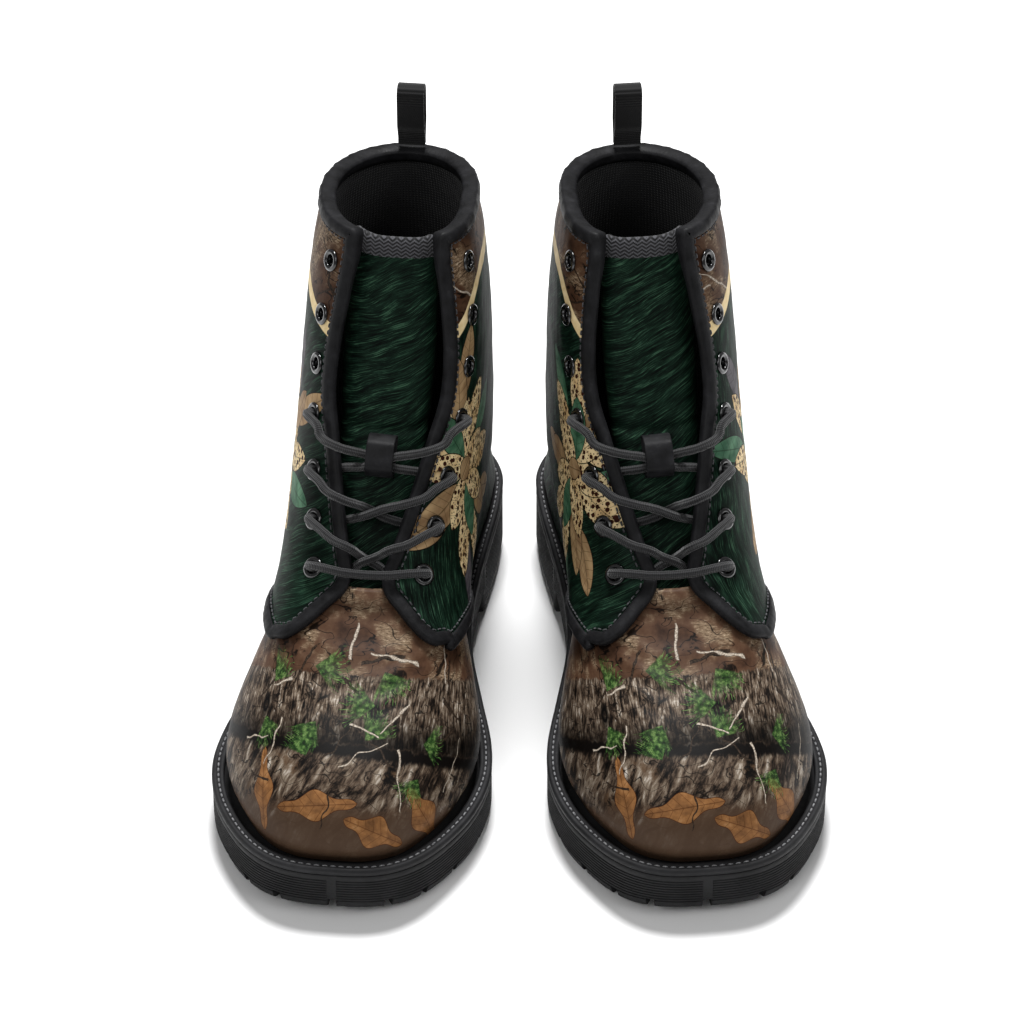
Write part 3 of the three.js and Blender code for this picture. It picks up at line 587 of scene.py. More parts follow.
def vamp_plan(points, boot):
    """The vamp's flat pattern coordinates in centimetres: round the foot, and up it from the toe's edge."""
    steps = np.linalg.norm(np.diff(points, axis=0), axis=-1)
    around = np.concatenate([np.zeros((1, points.shape[1])), np.cumsum(steps, 0)], 0)
    around -= around[len(around) // 2]
    up = 0.66 * points[..., 1] + 0.88 * points[..., 2] + 73.4
    return np.stack([-around * SIDES[boot] / 10, up / 10, np.zeros(up.shape)], -1)


def vamp(boot):
    p = np.linspace(-1, 1, 141)[:, None]
    q = np.linspace(0, 1, 81)[None, :]
    away = VAMP_REACH * p
    s = q * vamp_top(np.abs(away))
    away = np.broadcast_to(away, s.shape)
    t = math.pi + away
    full = 1.5 * smoothstep(s, 0, 0.05) * (1 - smoothstep(s, 0.1, 0.32))
    height = -0.5 + full + creases(away, s) + ripple(base(t, s), 0.12, 1.0)
    outer = lifted(t, s, height)
    inner = lifted(t, s, -1.5)
    pattern = vamp_plan(outer, boot)
    return shell(f"{boot}_vamp_fine", outer, inner, boot, MATERIALS["camouflage"], {"pattern": pattern})


def cuff_line(t, s, side):
    """How far above the cuff's stripe a point lies, in s; the stripe climbs towards the back on the inner side."""
    from_front = np.maximum(math.pi - np.abs(t) - 0.45, 0)
    climb = (0.075 if side > 0 else 0.03) * smoothstep(from_front, 0, 0.9)
    return s - 0.812 - climb


MOTIF_AT = {1: (2.28, 0.6), -1: (1.75, 0.5)}


def quarter(boot, side):
    p = (1 - (1 - np.linspace(0, 1, 111)) ** 1.15)[:, None]
    q = np.linspace(0, 1, 161)[None, :]
    t, s = quarter_at(side, p, q)
    height = QUARTER_TOP + ripple(base(t, s), 0.12, 2.0 + side)
    outer = lifted(t, s, height)
    inner = lifted(t, s, QUARTER_UNDER)
    across = np.linalg.norm(np.diff(outer, axis=0), axis=-1)
    round_ = np.concatenate([np.zeros((1, q.shape[1])), np.cumsum(across, 0)], 0) / 10
    motif_t, motif_s = MOTIF_AT[side]
    pattern = np.stack([round_ * side * SIDES[boot], outer[..., 2] / 10 + 0.1 * outer[..., 1] / 10,
                        np.full(t.shape, 7.0 * side + (0.0 if boot == "right" else 40.0))], -1)
    centre = base(side * motif_t, motif_s)
    middle_normal = normal(side * motif_t, motif_s)
    sideways = np.cross([0, 0, 1], middle_normal)
    sideways /= np.linalg.norm(sideways)
    motif = np.stack([(outer - centre) @ sideways * SIDES[boot] / 10, (outer - centre)[..., 2] / 10,
                      cuff_line(t, s, side) * 30], -1)
    name = f"{boot}_quarter_{'inner' if side > 0 else 'outer'}_fine"
    piece = shell(name, outer, inner, boot, MATERIALS["quarter"], {"pattern": pattern, "motif": motif})
    cut(piece, [drill(side, row) for row in range(len(EYELETS))], boot)
    soften(piece, 50)
    return piece


def drill(side, row, radius=3.3):
    at, out = eyelet_place(side, row)
    across = np.cross(out, [0.0, 1.0, 0.3])
    across /= np.linalg.norm(across)
    other = np.cross(out, across)
    points, sides = [], 20
    for depth in (-8, 8):
        for k in range(sides):
            a = 2 * math.pi * k / sides
            points.append(at + out * depth + radius * (across * math.cos(a) + other * math.sin(a)))
    faces = [tuple(range(sides)), tuple(range(sides, 2 * sides))[::-1]]
    faces += [(k, k + sides, (k + 1) % sides + sides, (k + 1) % sides) for k in range(sides)]
    return np.array(points), faces


LINING_EDGE = spline([[0.44, 27], [0.5, 30], [0.6, 31.5], [0.7, 33.5], [0.9, 32], [1, 24]])


def lining_face(s):
    return -lerp(2.8, 0.0, smoothstep(s, 0.5, 0.62))


def lining(boot):
    s = np.concatenate([np.linspace(0.01, 0.4, 20), np.linspace(0.445, 0.993, 60)])[None, :]
    edge = np.where(s > 0.44, np.abs(front_t(LINING_EDGE(s), s, 1)), math.pi - 0.001)
    other = np.where(s > 0.44, np.abs(front_t(LINING_EDGE(s), s, -1)), math.pi - 0.001)
    p = np.linspace(0, 1, 141)[:, None]
    t = lerp(-other, edge, p)
    s = np.broadcast_to(s, t.shape)
    wobble = ripple(base(t, s), 0.25, 4.0)
    outer = lifted(t, s, lining_face(s) + np.minimum(wobble, 0))
    inner = lifted(t, s, lining_face(s) - LINING_THICKNESS + wobble)
    pattern = np.stack([t * 3.4, outer[..., 2] / 10, 0 * t], -1)
    return shell(f"{boot}_lining_fine", outer, inner, boot, MATERIALS["mesh"], {"pattern": pattern})


# ---------------------------------------------------------------- tongue
TONGUE_START = 0.455
TONGUE_END = 0.985
tongue_half = spline([[TONGUE_START, 9], [0.5, 15], [0.6, 22], [0.75, 26], [0.9, 25], [1, 22]])
tongue_face = spline([[TONGUE_START, -5.4], [0.49, -6.4], [0.52, -7.0], [1, -7.0]])


def tongue_grid(start, end, across, along, lift, depth, round_by):
    """Outer and inner skins of a stretch of the tongue, thinning to its sides by round_by."""
    p = np.linspace(-1, 1, across)[:, None]
    s = np.linspace(start, end, along)[None, :]
    side = np.where(p < 0, -1.0, 1.0)
    edge = math.pi - np.abs(front_t(tongue_half(s), s, side))
    t = math.pi + edge * p
    thin = round_by * np.abs(np.broadcast_to(p, t.shape)) ** 6
    s = np.broadcast_to(s, t.shape)
    outer = lifted(t, s, tongue_face(s) + lift - thin)
    inner = lifted(t, s, tongue_face(s) + lift - depth + thin)
    return p, s, outer, inner


def seam_dip(s, at, width=0.006, depth=0.7):
    return -depth * np.exp(-((s - at) / width) ** 2)


def tongue(boot):
    p, s, outer, inner = tongue_grid(TONGUE_START, 0.957, 41, 121, 0.0, TONGUE_THICKNESS, 1.2)
    out = outer - inner
    out /= np.linalg.norm(out, axis=-1, keepdims=True)
    outer = outer + out * seam_dip(s, 0.693)[..., None]
    pattern = np.stack([outer[..., 0] * SIDES[boot] / 10, outer[..., 2] / 10 * 1.2,
                        np.full(s.shape, 3.0 if boot == "right" else 50.0)], -1)
    return shell(f"{boot}_tongue_fine", outer, inner, boot, MATERIALS["fur"], {"pattern": pattern})


def tongue_rim(boot):
    """The knitted binding folded over the tongue's top edge."""
    p = np.linspace(-1, 1, 61)
    s = np.full(p.shape, 0.969)
    side = np.where(p < 0, -1.0, 1.0)
    edge = math.pi - np.abs(front_t(tongue_half(s), s, side))
    path = lifted(math.pi + edge * p * 0.985, s, tongue_face(s) - TONGUE_THICKNESS / 2 + 0.05)
    ups = normal(math.pi + edge * p, s)
    section = rounded_rectangle(9.2, TONGUE_THICKNESS + 0.5, 1.7, 4)
    piece = sweep(f"{boot}_tongue_rim_fine", path, ups, section, boot, MATERIALS["knit"])
    return piece


def rounded_rectangle(width, height, radius, steps):
    points = []
    for quarter_turn, (sx, sy) in enumerate(((1, 1), (-1, 1), (-1, -1), (1, -1))):
        centre = (sx * (width / 2 - radius), sy * (height / 2 - radius))
        for i in range(steps + 1):
            a = math.pi / 2 * (quarter_turn + i / steps)
            points.append((centre[0] + radius * math.cos(a), centre[1] + radius * math.sin(a)))
    return points


# ---------------------------------------------------------------- lace keeper
KEEPER_WIDTH = 11.5
KEEPER_HEIGHT = 17.6
KEEPER_RISE = 12.8
KEEPER_WALL = 1.1
KEEPER_S = 0.6585


def lace_keeper(boot):
    """A leather strap sewn to the tongue as a flat loop that the lace runs through."""
    out = normal(math.pi, KEEPER_S)
    up = base(math.pi, KEEPER_S + 0.02) - base(math.pi, KEEPER_S - 0.02)
    up /= np.linalg.norm(up)
    at = base(math.pi, KEEPER_S) + out * (tongue_face(KEEPER_S) + 0.4)
    middle = KEEPER_WALL / 2
    h, r = KEEPER_HEIGHT / 2 - middle, KEEPER_RISE - middle
    knots = [[-h, middle], [0, middle], [h, middle], [h + 0.1, r * 0.3], [h, r * 0.6], [h * 0.62, r],
             [0, r + 0.1], [-h * 0.62, r], [-h, r * 0.6], [-h - 0.1, r * 0.3]]
    ring = resampled(np.array(knots, float), 60, looped=True)
    for _ in range(3):
        ring = (np.roll(ring, 1, 0) + 2 * ring + np.roll(ring, -1, 0)) / 4
    path = at + ring[:, :1] * up + ring[:, 1:] * out
    across = np.cross(up, out)
    ups = np.tile(across, (len(path), 1))
    section = rounded_rectangle(KEEPER_WALL, KEEPER_WIDTH, 0.45, 3)
    return sweep(f"{boot}_lace_keeper_fine", path, ups, section, boot, MATERIALS["leather"], looped=True)


# ---------------------------------------------------------------- binding
def binding_path(count_side, count_top):
    """(t, s, full, collar) round the quarters' edges: full is 1 where the binding wraps both faces."""
    half = {}
    for side in (1, -1):
        q = np.linspace(0.075, 1, count_side)
        t, s = quarter_at(side, 1.0, q)
        half[side] = np.stack([t, s, smoothstep(q, 0.5, 0.57), smoothstep(q, 0.92, 1)], 1)
    p = np.linspace(-1, 1, count_top)[1:-1]
    side = np.where(p < 0, -1, 1)
    t = np.where(p > 0, quarter_at(1, np.abs(p), 1.0)[0], quarter_at(-1, np.abs(p), 1.0)[0])
    top = np.stack([t, np.ones_like(t), np.ones_like(t), np.ones_like(t)], 1)
    return np.vstack([half[1], top[::-1], half[-1][::-1]])


def binding_section(s, full, collar, puff):
    """A soft U over the panel's edge; below the throat its inner leg stops at the edge."""
    outer = QUARTER_TOP + 0.35
    crown = outer + 1.25 + puff
    inner_face = lerp(QUARTER_UNDER - 0.5, lining_face(s) - LINING_THICKNESS - 0.45, collar)
    inner = lerp(0.75, inner_face, full)
    lip = lerp(0.3, 1.2, full)
    reach = lerp(0.9, -BINDING_WIDTH, full)
    out = EDGE_OUT + 0.1
    return [(-BINDING_WIDTH, outer - 0.25), (-BINDING_WIDTH - 0.15, outer + 0.5), (-BINDING_WIDTH + 0.4, crown - 0.25),
            (-1.6, crown), (0.2, crown), (1.1, crown - 0.35), (out, outer - 0.1), (out, inner + 0.2),
            (1.2, inner - 0.7 * lip), (0.6, inner - lip), (lerp(0.75, -1.8, full), inner - lip),
            (reach, inner - 0.8 * lip), (reach + 0.05 * (1 - full), inner), (0.55, inner + 0.1),
            (0.45, outer - 0.3), (-1.5, outer - 0.3)]


def collar_binding(boot):
    way = binding_path(190, 150)
    path = base(way[:, 0], way[:, 1])
    ups = normal(way[:, 0], np.minimum(way[:, 1], 0.985))
    at = lengths(path)
    puff = 0.12 * np.sin(at * 0.9) * np.sin(at * 0.37 + 1) + 0.3 * way[:, 3] * np.maximum(np.sin(at * 0.62), 0) ** 3
    sections = [binding_section(s, full, collar, bump) for (_, s, full, collar), bump in zip(way, puff)]
    side, _ = frames_along(path, ups)
    towards_panel = base(way[:, 0] * 0.97, way[:, 1] * 0.985) - path
    flip = -1.0 if (side * towards_panel).sum() > 0 else 1.0
    sections = np.array(sections) * [flip, 1]
    return sweep(f"{boot}_collar_binding_fine", path, ups, sections, boot, MATERIALS["leather"])


def edge_stitches(boot):
    """Thread lines on the panels just behind the binding, on both sides and under the collar."""
    way = binding_path(300, 240)
    path = base(way[:, 0], way[:, 1])
    ups = normal(way[:, 0], np.minimum(way[:, 1], 0.985))
    side, up = frames_along(path, ups)
    towards_panel = base(way[:, 0] * 0.97, way[:, 1] * 0.985) - path
    flip = 1.0 if (side * towards_panel).sum() > 0 else -1.0
    line = path + side * flip * (BINDING_WIDTH + 1.1) + up * (QUARTER_TOP + 0.1)
    made = [stitches(f"{boot}_binding_stitches", line[4:-4], up[4:-4], boot, MATERIALS["dark_thread"], pitch=3.0,
                     length=2.1, radius=0.4)]
    return made


# ---------------------------------------------------------------- pull loop
LOOP_WIDTH = 11.5
LOOP_HEIGHT = 29.5
LOOP_THICKNESS = 1.5
LOOP_OPENING = 6.0
LOOP_FOOT = 1.8
LOOP_LIFT = 3.6


def pull_loop(boot):
    """Folded webbing: a closed tape whose two ends are sewn together at the foot, with cross ribs."""
    foot = base(0.0, 1.0) + [0, -0.5, LOOP_LIFT]
    r = LOOP_OPENING / 2 + LOOP_THICKNESS / 2
    top = LOOP_HEIGHT - r - LOOP_THICKNESS / 2
    outside = [[-LOOP_FOOT + 0.8, 0.6], [-LOOP_FOOT + 0.8, 4], [-r, 11], [-r, top]]
    outside += [[r * math.cos(a), top + r * math.sin(a)] for a in np.linspace(math.pi, 0, 13)[1:-1]]
    outside += [[r, top], [r, 11], [LOOP_FOOT - 0.8, 4], [LOOP_FOOT - 0.8, 0.6]]
    line = resampled(np.array(outside), 220)
    for _ in range(6):
        line[1:-1] = (line[:-2] + 2 * line[1:-1] + line[2:]) / 4
    height = line[:, 1]
    rib = np.sin(height * 2 * math.pi / 1.15)
    ribbed = np.maximum(smoothstep(height, 20.5, 22.5), 1 - smoothstep(height, 7.5, 9.5))
    path = np.column_stack([np.full(len(line), foot[0]), foot[1] + line[:, 0], foot[2] + line[:, 1]])
    ups = np.tile([1.0, 0.0, 0.0], (len(path), 1))
    sections = []
    for i in range(len(path)):
        thick = LOOP_THICKNESS - 0.25 + 0.3 * rib[i] * ribbed[i]
        sections.append(rounded_rectangle(thick, LOOP_WIDTH, 0.4, 3))
    return sweep(f"{boot}_pull_loop_fine", path, ups, sections, boot, MATERIALS["webbing"])


# ---------------------------------------------------------------- lace
OVER = QUARTER_TOP + 0.3 + 1 + 0.3 + LACE_RADIUS
OVER_BINDING = QUARTER_TOP + 0.5 + 1.2 + 0.3 + LACE_RADIUS + 0.5
UNDER = -3.5
LACED_ROWS = 4
TAIL = [[2.25, 0.64, -6.5], [2.05, 0.55, -8], [1.9, 0.44, -9], [1.85, 0.33, -10], [1.95, 0.22, -11], [2.15, 0.16, -12]]


def on_surface(x, s, height):
    return lifted(front_t(abs(x), s, -1 if x < 0 else 1), s, height)


def eyelet_point(side, row, height):
    at, out = eyelet_place(side, row)
    return at + out * height


throat_half = spline([[s, x - EDGE_OUT] for x, s in THROAT_EDGE[4:]])


def strand(side, row, on_top):
    """From the inside of an eyelet, across the tongue, to the outside of the next one up across the throat."""
    x0, s0 = EYELETS[row]
    x1, s1 = EYELETS[row + 1]
    rise = [0.7, 1.7, 2.4] if on_top else [-2.75, -2.65, -2.1]

    def up(u):
        return lerp(s0, s1, u)

    return [
        eyelet_point(side, row, UNDER),
        on_surface(side * (throat_half(up(0.27)) + 2), up(0.27), UNDER - 0.4),
        on_surface(side * 3.6, up(0.42), rise[0]),
        on_surface(side * 0.01, up(0.5), rise[1]),
        on_surface(-side * 3.6, up(0.58), rise[2]),
        on_surface(-side * (throat_half(up(0.69)) - 0.9), up(0.69), OVER_BINDING - 0.2),
        on_surface(-side * (throat_half(up(0.78)) + 4.5), up(0.78), OVER_BINDING),
        on_surface(-side * (x1 - 5.5), up(0.91), OVER_BINDING - 0.1),
        eyelet_point(-side, row + 1, OVER),
        eyelet_point(-side, row + 1, -0.9),
    ]


def lace_route():
    def half(side, first_on_top):
        points, at = [], side
        for row in range(LACED_ROWS - 1):
            points += strand(at, row, first_on_top if at == -1 else not first_on_top)
            at = -at
        points.append(eyelet_point(at, LACED_ROWS - 1, UNDER - 0.6))
        return points + [lifted(at * t, s, height) for t, s, height in TAIL]

    bar = [eyelet_point(1, 0, height) for height in (-0.9, OVER)]
    bar += [on_surface(x, EYELETS[0][1] + 0.006, OVER_BINDING + 0.4) for x in (15, 8, -8, -15)]
    bar += [eyelet_point(-1, 0, height) for height in (OVER, -0.9)]
    return np.array(half(1, True)[::-1] + bar + half(-1, True))


def lace(boot):
    path = smoothed(lace_route(), 700, 3)
    along = lengths(path)
    ups = np.zeros_like(path)
    up = np.array([0.0, 0.0, 1.0])
    tangents = np.gradient(path, axis=0)
    for i, tangent in enumerate(tangents):
        tangent = tangent / np.linalg.norm(tangent)
        up = up - tangent * (up @ tangent)
        up /= np.linalg.norm(up)
        ups[i] = up
    sides = 20
    angle = 2 * math.pi * np.arange(sides) / sides
    sections, pattern = [], []
    for at in along:
        twist = np.cos(4 * angle - at * 2.1) * np.cos(4 * angle + at * 2.1)
        radius = LACE_RADIUS * (0.965 + 0.045 * twist)
        sections.append(np.stack([radius * np.cos(angle), radius * np.sin(angle)], 1))
        pattern.append(np.stack([angle / (2 * math.pi), np.full(sides, at / 10), np.zeros(sides)], 1))
    return sweep(f"{boot}_lace_fine", path, ups, sections, boot, MATERIALS["lace"],
                 attributes={"pattern": np.concatenate(pattern)})


# ---------------------------------------------------------------- eyelets
def eyelet(boot, side, row):
    at, out = eyelet_place(side, row)
    across = np.cross(out, [0.0, 1.0, 0.3])
    across /= np.linalg.norm(across)
    other = np.cross(out, across)
    top = QUARTER_TOP + 0.25
    profile = [(EYELET_HOLE, -0.8), (EYELET_HOLE + 0.45, -0.9), (EYELET_HOLE + 0.5, top - 0.3),
               (EYELET_FLANGE - 0.1, top - 0.05), (EYELET_FLANGE, top + 0.25), (EYELET_FLANGE - 0.35, top + 0.7),
               (EYELET_FLANGE - 1.0, top + 1.0), (EYELET_HOLE + 0.7, top + 0.95), (EYELET_HOLE + 0.15, top + 0.55),
               (EYELET_HOLE, top - 0.1)]
    sides = 40
    angle = 2 * math.pi * np.arange(sides) / sides
    points = []
    for radius, height in profile:
        points.append(at + out * height + radius * (np.cos(angle)[:, None] * across + np.sin(angle)[:, None] * other))
    n = len(profile)
    faces = []
    for r in range(n):
        for k in range(sides):
            after = (k + 1) % sides
            faces.append((r * sides + k, r * sides + after, (r + 1) % n * sides + after, (r + 1) % n * sides + k))
    points = np.concatenate(points)
    name = f"{boot}_eyelet_{'inner' if side > 0 else 'outer'}_{row + 1}_fine"
    return make(name, points, facing_out(points, faces), boot, MATERIALS["enamel"])


# ---------------------------------------------------------------- materials
def tone(red, green, blue):
    """A colour given as 0 to 255 sRGB, as linear values."""
    return tuple(float(((v / 255 + 0.055) / 1.055) ** 2.4) if v > 10 else v / 255 / 12.92
                 for v in (red, green, blue)) + (1.0,)


class Graph:
    """Builds one material's nodes: each call adds a node and gives back its output socket."""

    def __init__(self, name):
        self.material = bpy.data.materials.new(name)
        self.material.use_nodes = True
        self.tree = self.material.node_tree
        self.tree.nodes.clear()

    def add(self, kind, inputs=(), **settings):
        made = self.tree.nodes.new(kind)
        for key, value in settings.items():
            setattr(made, key, value)
        for key, value in dict(inputs).items():
            self.feed(value, made.inputs[key])
        return made

    def feed(self, value, socket):
        if isinstance(value, bpy.types.NodeSocket):
            self.tree.links.new(value, socket)
        else:
            socket.default_value = value

    def attribute(self, name):
        return self.add("ShaderNodeAttribute", attribute_name=name).outputs["Vector"]

    def place(self):
        return self.add("ShaderNodeTexCoord").outputs["Object"]

    def maths(self, operation, a, b=0.0, c=0.0):
        made = self.add("ShaderNodeMath", {0: a, 1: b, 2: c}, operation=operation)
        return made.outputs[0]

    def vector(self, operation, a, b=(0, 0, 0)):
        made = self.add("ShaderNodeVectorMath", {0: a, 1: b}, operation=operation)
        return made.outputs[1 if operation in ("LENGTH", "DOT_PRODUCT", "DISTANCE") else 0]

    def parts(self, vector):
        return self.add("ShaderNodeSeparateXYZ", {0: vector}).outputs

    def join(self, x, y, z=0.0):
        return self.add("ShaderNodeCombineXYZ", {0: x, 1: y, 2: z}).outputs[0]

    def noise(self, vector, scale=1.0, detail=3.0, roughness=0.5, distortion=0.0, output="Fac"):
        made = self.add("ShaderNodeTexNoise", {"Vector": vector, "Scale": scale, "Detail": detail,
                                               "Roughness": roughness, "Distortion": distortion})
        return made.outputs[output]

    def cells(self, vector, scale=1.0, feature="F1", randomness=1.0, dimensions="2D"):
        return self.add("ShaderNodeTexVoronoi", {"Vector": vector, "Scale": scale, "Randomness": randomness},
                        feature=feature, voronoi_dimensions=dimensions).outputs

    def step(self, value, low, high, start=0.0, end=1.0):
        """A smooth change from start to end as the value passes from low to high."""
        made = self.add("ShaderNodeMapRange", {"Value": value, "From Min": low, "From Max": high,
                                               "To Min": start, "To Max": end}, interpolation_type="SMOOTHSTEP")
        return made.outputs[0]

    def band(self, value, low, high, soft):
        return self.maths("MULTIPLY", self.step(value, low - soft, low + soft),
                          self.step(value, high - soft, high + soft, 1.0, 0.0))

    def ramp(self, value, stops):
        made = self.add("ShaderNodeValToRGB", {0: value})
        elements = made.color_ramp.elements
        while len(elements) < len(stops):
            elements.new(0.5)
        for element, (at, colour) in zip(elements, stops):
            element.position = at
            element.color = colour
        return made.outputs[0]

    def mix(self, share, a, b, blend="MIX"):
        made = self.add("ShaderNodeMix", data_type="RGBA", blend_type=blend)
        self.feed(share, made.inputs[0])
        self.feed(a, made.inputs[6])
        self.feed(b, made.inputs[7])
        return made.outputs[2]

    def deepened(self, colour, power):
        """The colour with its darks drawn down."""
        return self.add("ShaderNodeGamma", {0: colour, 1: power}).outputs[0]

    def turned(self, vector, angle):
        return self.add("ShaderNodeVectorRotate", {"Vector": vector, "Angle": angle},
                        rotation_type="Z_AXIS").outputs[0]

    def bump(self, height, distance, strength=1.0, below=None):
        made = self.add("ShaderNodeBump", {"Height": height, "Distance": distance, "Strength": strength})
        if below is not None:
            self.feed(below, made.inputs["Normal"])
        return made.outputs[0]

    def finish(self, colour, roughness, bump=None, **shader):
        surface = self.add("ShaderNodeBsdfPrincipled", {"Base Color": colour, "Roughness": roughness})
        for key, value in {"Specular_IOR_Level": 0.2, **shader}.items():
            surface.inputs[key.replace("_", " ")].default_value = value
        if bump is not None:
            self.feed(bump, surface.inputs["Normal"])
        output = self.add("ShaderNodeOutputMaterial")
        self.tree.links.new(surface.outputs[0], output.inputs[0])
        return self.material


class Twigs:
    """Crooked twigs, which share their bends, their knobbly widths and a pale and a dark skin."""

    def __init__(self, g, place):
        bend = g.noise(place, 1.1, 1.0, 0.4, output="Color")
        bend = g.vector("MULTIPLY", g.vector("SUBTRACT", bend, (0.5, 0.5, 0.5)), (0.6, 0.6, 0))
        self.flat = g.vector("MULTIPLY", g.vector("ADD", place, bend), (1, 1, 0))
        self.knobs = g.step(g.noise(place, 3.0, 2.0, 0.5), 0.3, 0.7, 0.7, 1.3)
        grain = g.noise(place, 14.0, 2.0, 0.6)
        self.pale = g.ramp(grain, [(0.3, tone(116, 102, 88)), (0.7, tone(214, 204, 190))])
        self.dark = g.ramp(grain, [(0.3, tone(16, 12, 10)), (0.75, tone(84, 70, 58))])

    def paint(self, g, colour, start, end, thick, thin, skin):
        """A twig from start to end, thinning as it goes, with dark edges."""
        away = g.vector("SUBTRACT", self.flat, (start[0], start[1], 0))
        run = (end[0] - start[0], end[1] - start[1])
        long = math.hypot(*run)
        ahead = (run[0] / long, run[1] / long, 0)
        share = g.maths("DIVIDE", g.vector("DOT_PRODUCT", away, ahead), long)
        across = g.maths("ABSOLUTE", g.vector("DOT_PRODUCT", away, (-ahead[1], ahead[0], 0)))
        width = g.maths("MULTIPLY", g.maths("MULTIPLY_ADD", share, (thin - thick) / 2, thick / 2), self.knobs)
        mask = g.maths("MULTIPLY", g.step(g.maths("SUBTRACT", width, across), 0.0, 0.02),
                       g.band(share, 0.0, 1.0, 0.01))
        edge = g.step(g.maths("DIVIDE", across, width), 0.35, 1.0)
        colour = g.mix(mask, colour, skin)
        return g.mix(g.maths("MULTIPLY", mask, edge), colour, tone(22, 17, 14))


def tuft(g, colour, place, green, root, turn, long, spread, seed=0.0):
    """A tuft of pine needles that fans out from its root, turned to an angle, long and spread in cm and radians."""
    local = g.vector("MULTIPLY", g.vector("SUBTRACT", place, (root[0], root[1], 0)), (1, 1, 0))
    x, y, _ = g.parts(g.turned(local, -turn))
    reach = g.vector("LENGTH", local)
    angle = g.maths("ARCTAN2", y, x)
    sway = g.noise(local, 1.4, 1.0, 0.5)
    swept = g.maths("MULTIPLY_ADD", sway, 0.5, angle)
    count = g.maths("MULTIPLY_ADD", swept, 30.0 / spread, seed)
    chance = g.add("ShaderNodeTexWhiteNoise", {"W": g.maths("FLOOR", count)}, noise_dimensions="1D").outputs["Value"]
    stroke = g.maths("ABSOLUTE", g.maths("SUBTRACT", g.maths("FRACT", count), 0.5))
    length = g.maths("MULTIPLY", g.maths("MULTIPLY_ADD", chance, 0.5, 0.5), long)
    inside = g.maths("MULTIPLY", g.step(stroke, 0.22, 0.36, 1.0, 0.0),
                     g.step(g.maths("SUBTRACT", length, reach), 0.0, 0.08))
    inside = g.maths("MULTIPLY", inside, g.step(g.maths("ABSOLUTE", angle), spread * 0.85, spread, 1.0, 0.0))
    shade = g.maths("MULTIPLY", g.step(g.maths("SUBTRACT", long * 0.8, reach), 0.0, long * 0.5, 0.0, 0.7),
                    g.step(g.maths("ABSOLUTE", angle), spread * 0.7, spread, 1.0, 0.0))
    return g.mix(inside, g.mix(shade, colour, tone(18, 26, 14)), green)


def leaf(g, place, centre, turn, long, wide, lobes=0.0):
    """(inside, along, across) of one leaf shape; inside is positive within it, in centimetres."""
    local = g.vector("SUBTRACT", g.vector("MULTIPLY", place, (1, 1, 0)), (centre[0], centre[1], 0))
    turned = g.parts(g.turned(local, -turn))
    along = g.maths("DIVIDE", turned[0], long)
    square = g.maths("MULTIPLY", along, along)
    width = g.maths("MULTIPLY", g.maths("POWER", g.maths("MAXIMUM", g.maths("SUBTRACT", 1.0, square), 0.0), 0.8), wide)
    if lobes:
        wave = g.maths("MULTIPLY_ADD", g.maths("COSINE", g.maths("MULTIPLY", along, lobes)), 0.26, 0.74)
        width = g.maths("MULTIPLY", width, wave)
    across = g.maths("ABSOLUTE", turned[1])
    return g.maths("SUBTRACT", width, across), along, across


def paint_leaf(g, colour, place, centre, turn, long, wide, fill, lobes=0.0, line=0.035, ink=tone(14, 11, 9)):
    """One printed leaf or petal with an inked outline, midrib and side veins."""
    inside, along, across = leaf(g, place, centre, turn, long, wide, lobes)
    vein = g.maths("FRACT", g.maths("MULTIPLY_ADD", across, -1.6, g.maths("MULTIPLY", along, 4.0)))
    veins = g.maths("MAXIMUM", g.step(vein, 0.04, 0.09, 1.0, 0.0), g.step(across, 0.012, 0.03, 1.0, 0.0))
    filled = g.mix(g.maths("MULTIPLY", veins, 0.55), fill, ink)
    filled = g.mix(g.step(inside, line * 0.6, line, 1.0, 0.0), filled, ink)
    return g.mix(g.step(inside, 0.0, 0.01), colour, filled)


def bark(g, place, along, across, seed):
    """Streaky bark: along and across are how many streaks a centimetre each way."""
    warp = g.vector("ADD", g.vector("MULTIPLY", place, (along, across, 1)), (seed, 0, 0))
    streak = g.noise(warp, 1.0, 7.0, 0.74, 0.35)
    patches = g.noise(g.vector("MULTIPLY", warp, (0.3, 0.9, 1)), 1.0, 3.0, 0.6)
    streak = g.maths("MULTIPLY_ADD", g.maths("SUBTRACT", patches, 0.5), 0.55, streak)
    return g.ramp(streak, [(0.35, tone(10, 8, 7)), (0.43, tone(44, 36, 30)), (0.51, tone(92, 78, 66)),
                           (0.6, tone(132, 120, 106)), (0.7, tone(190, 182, 172)), (0.8, tone(226, 222, 216))])


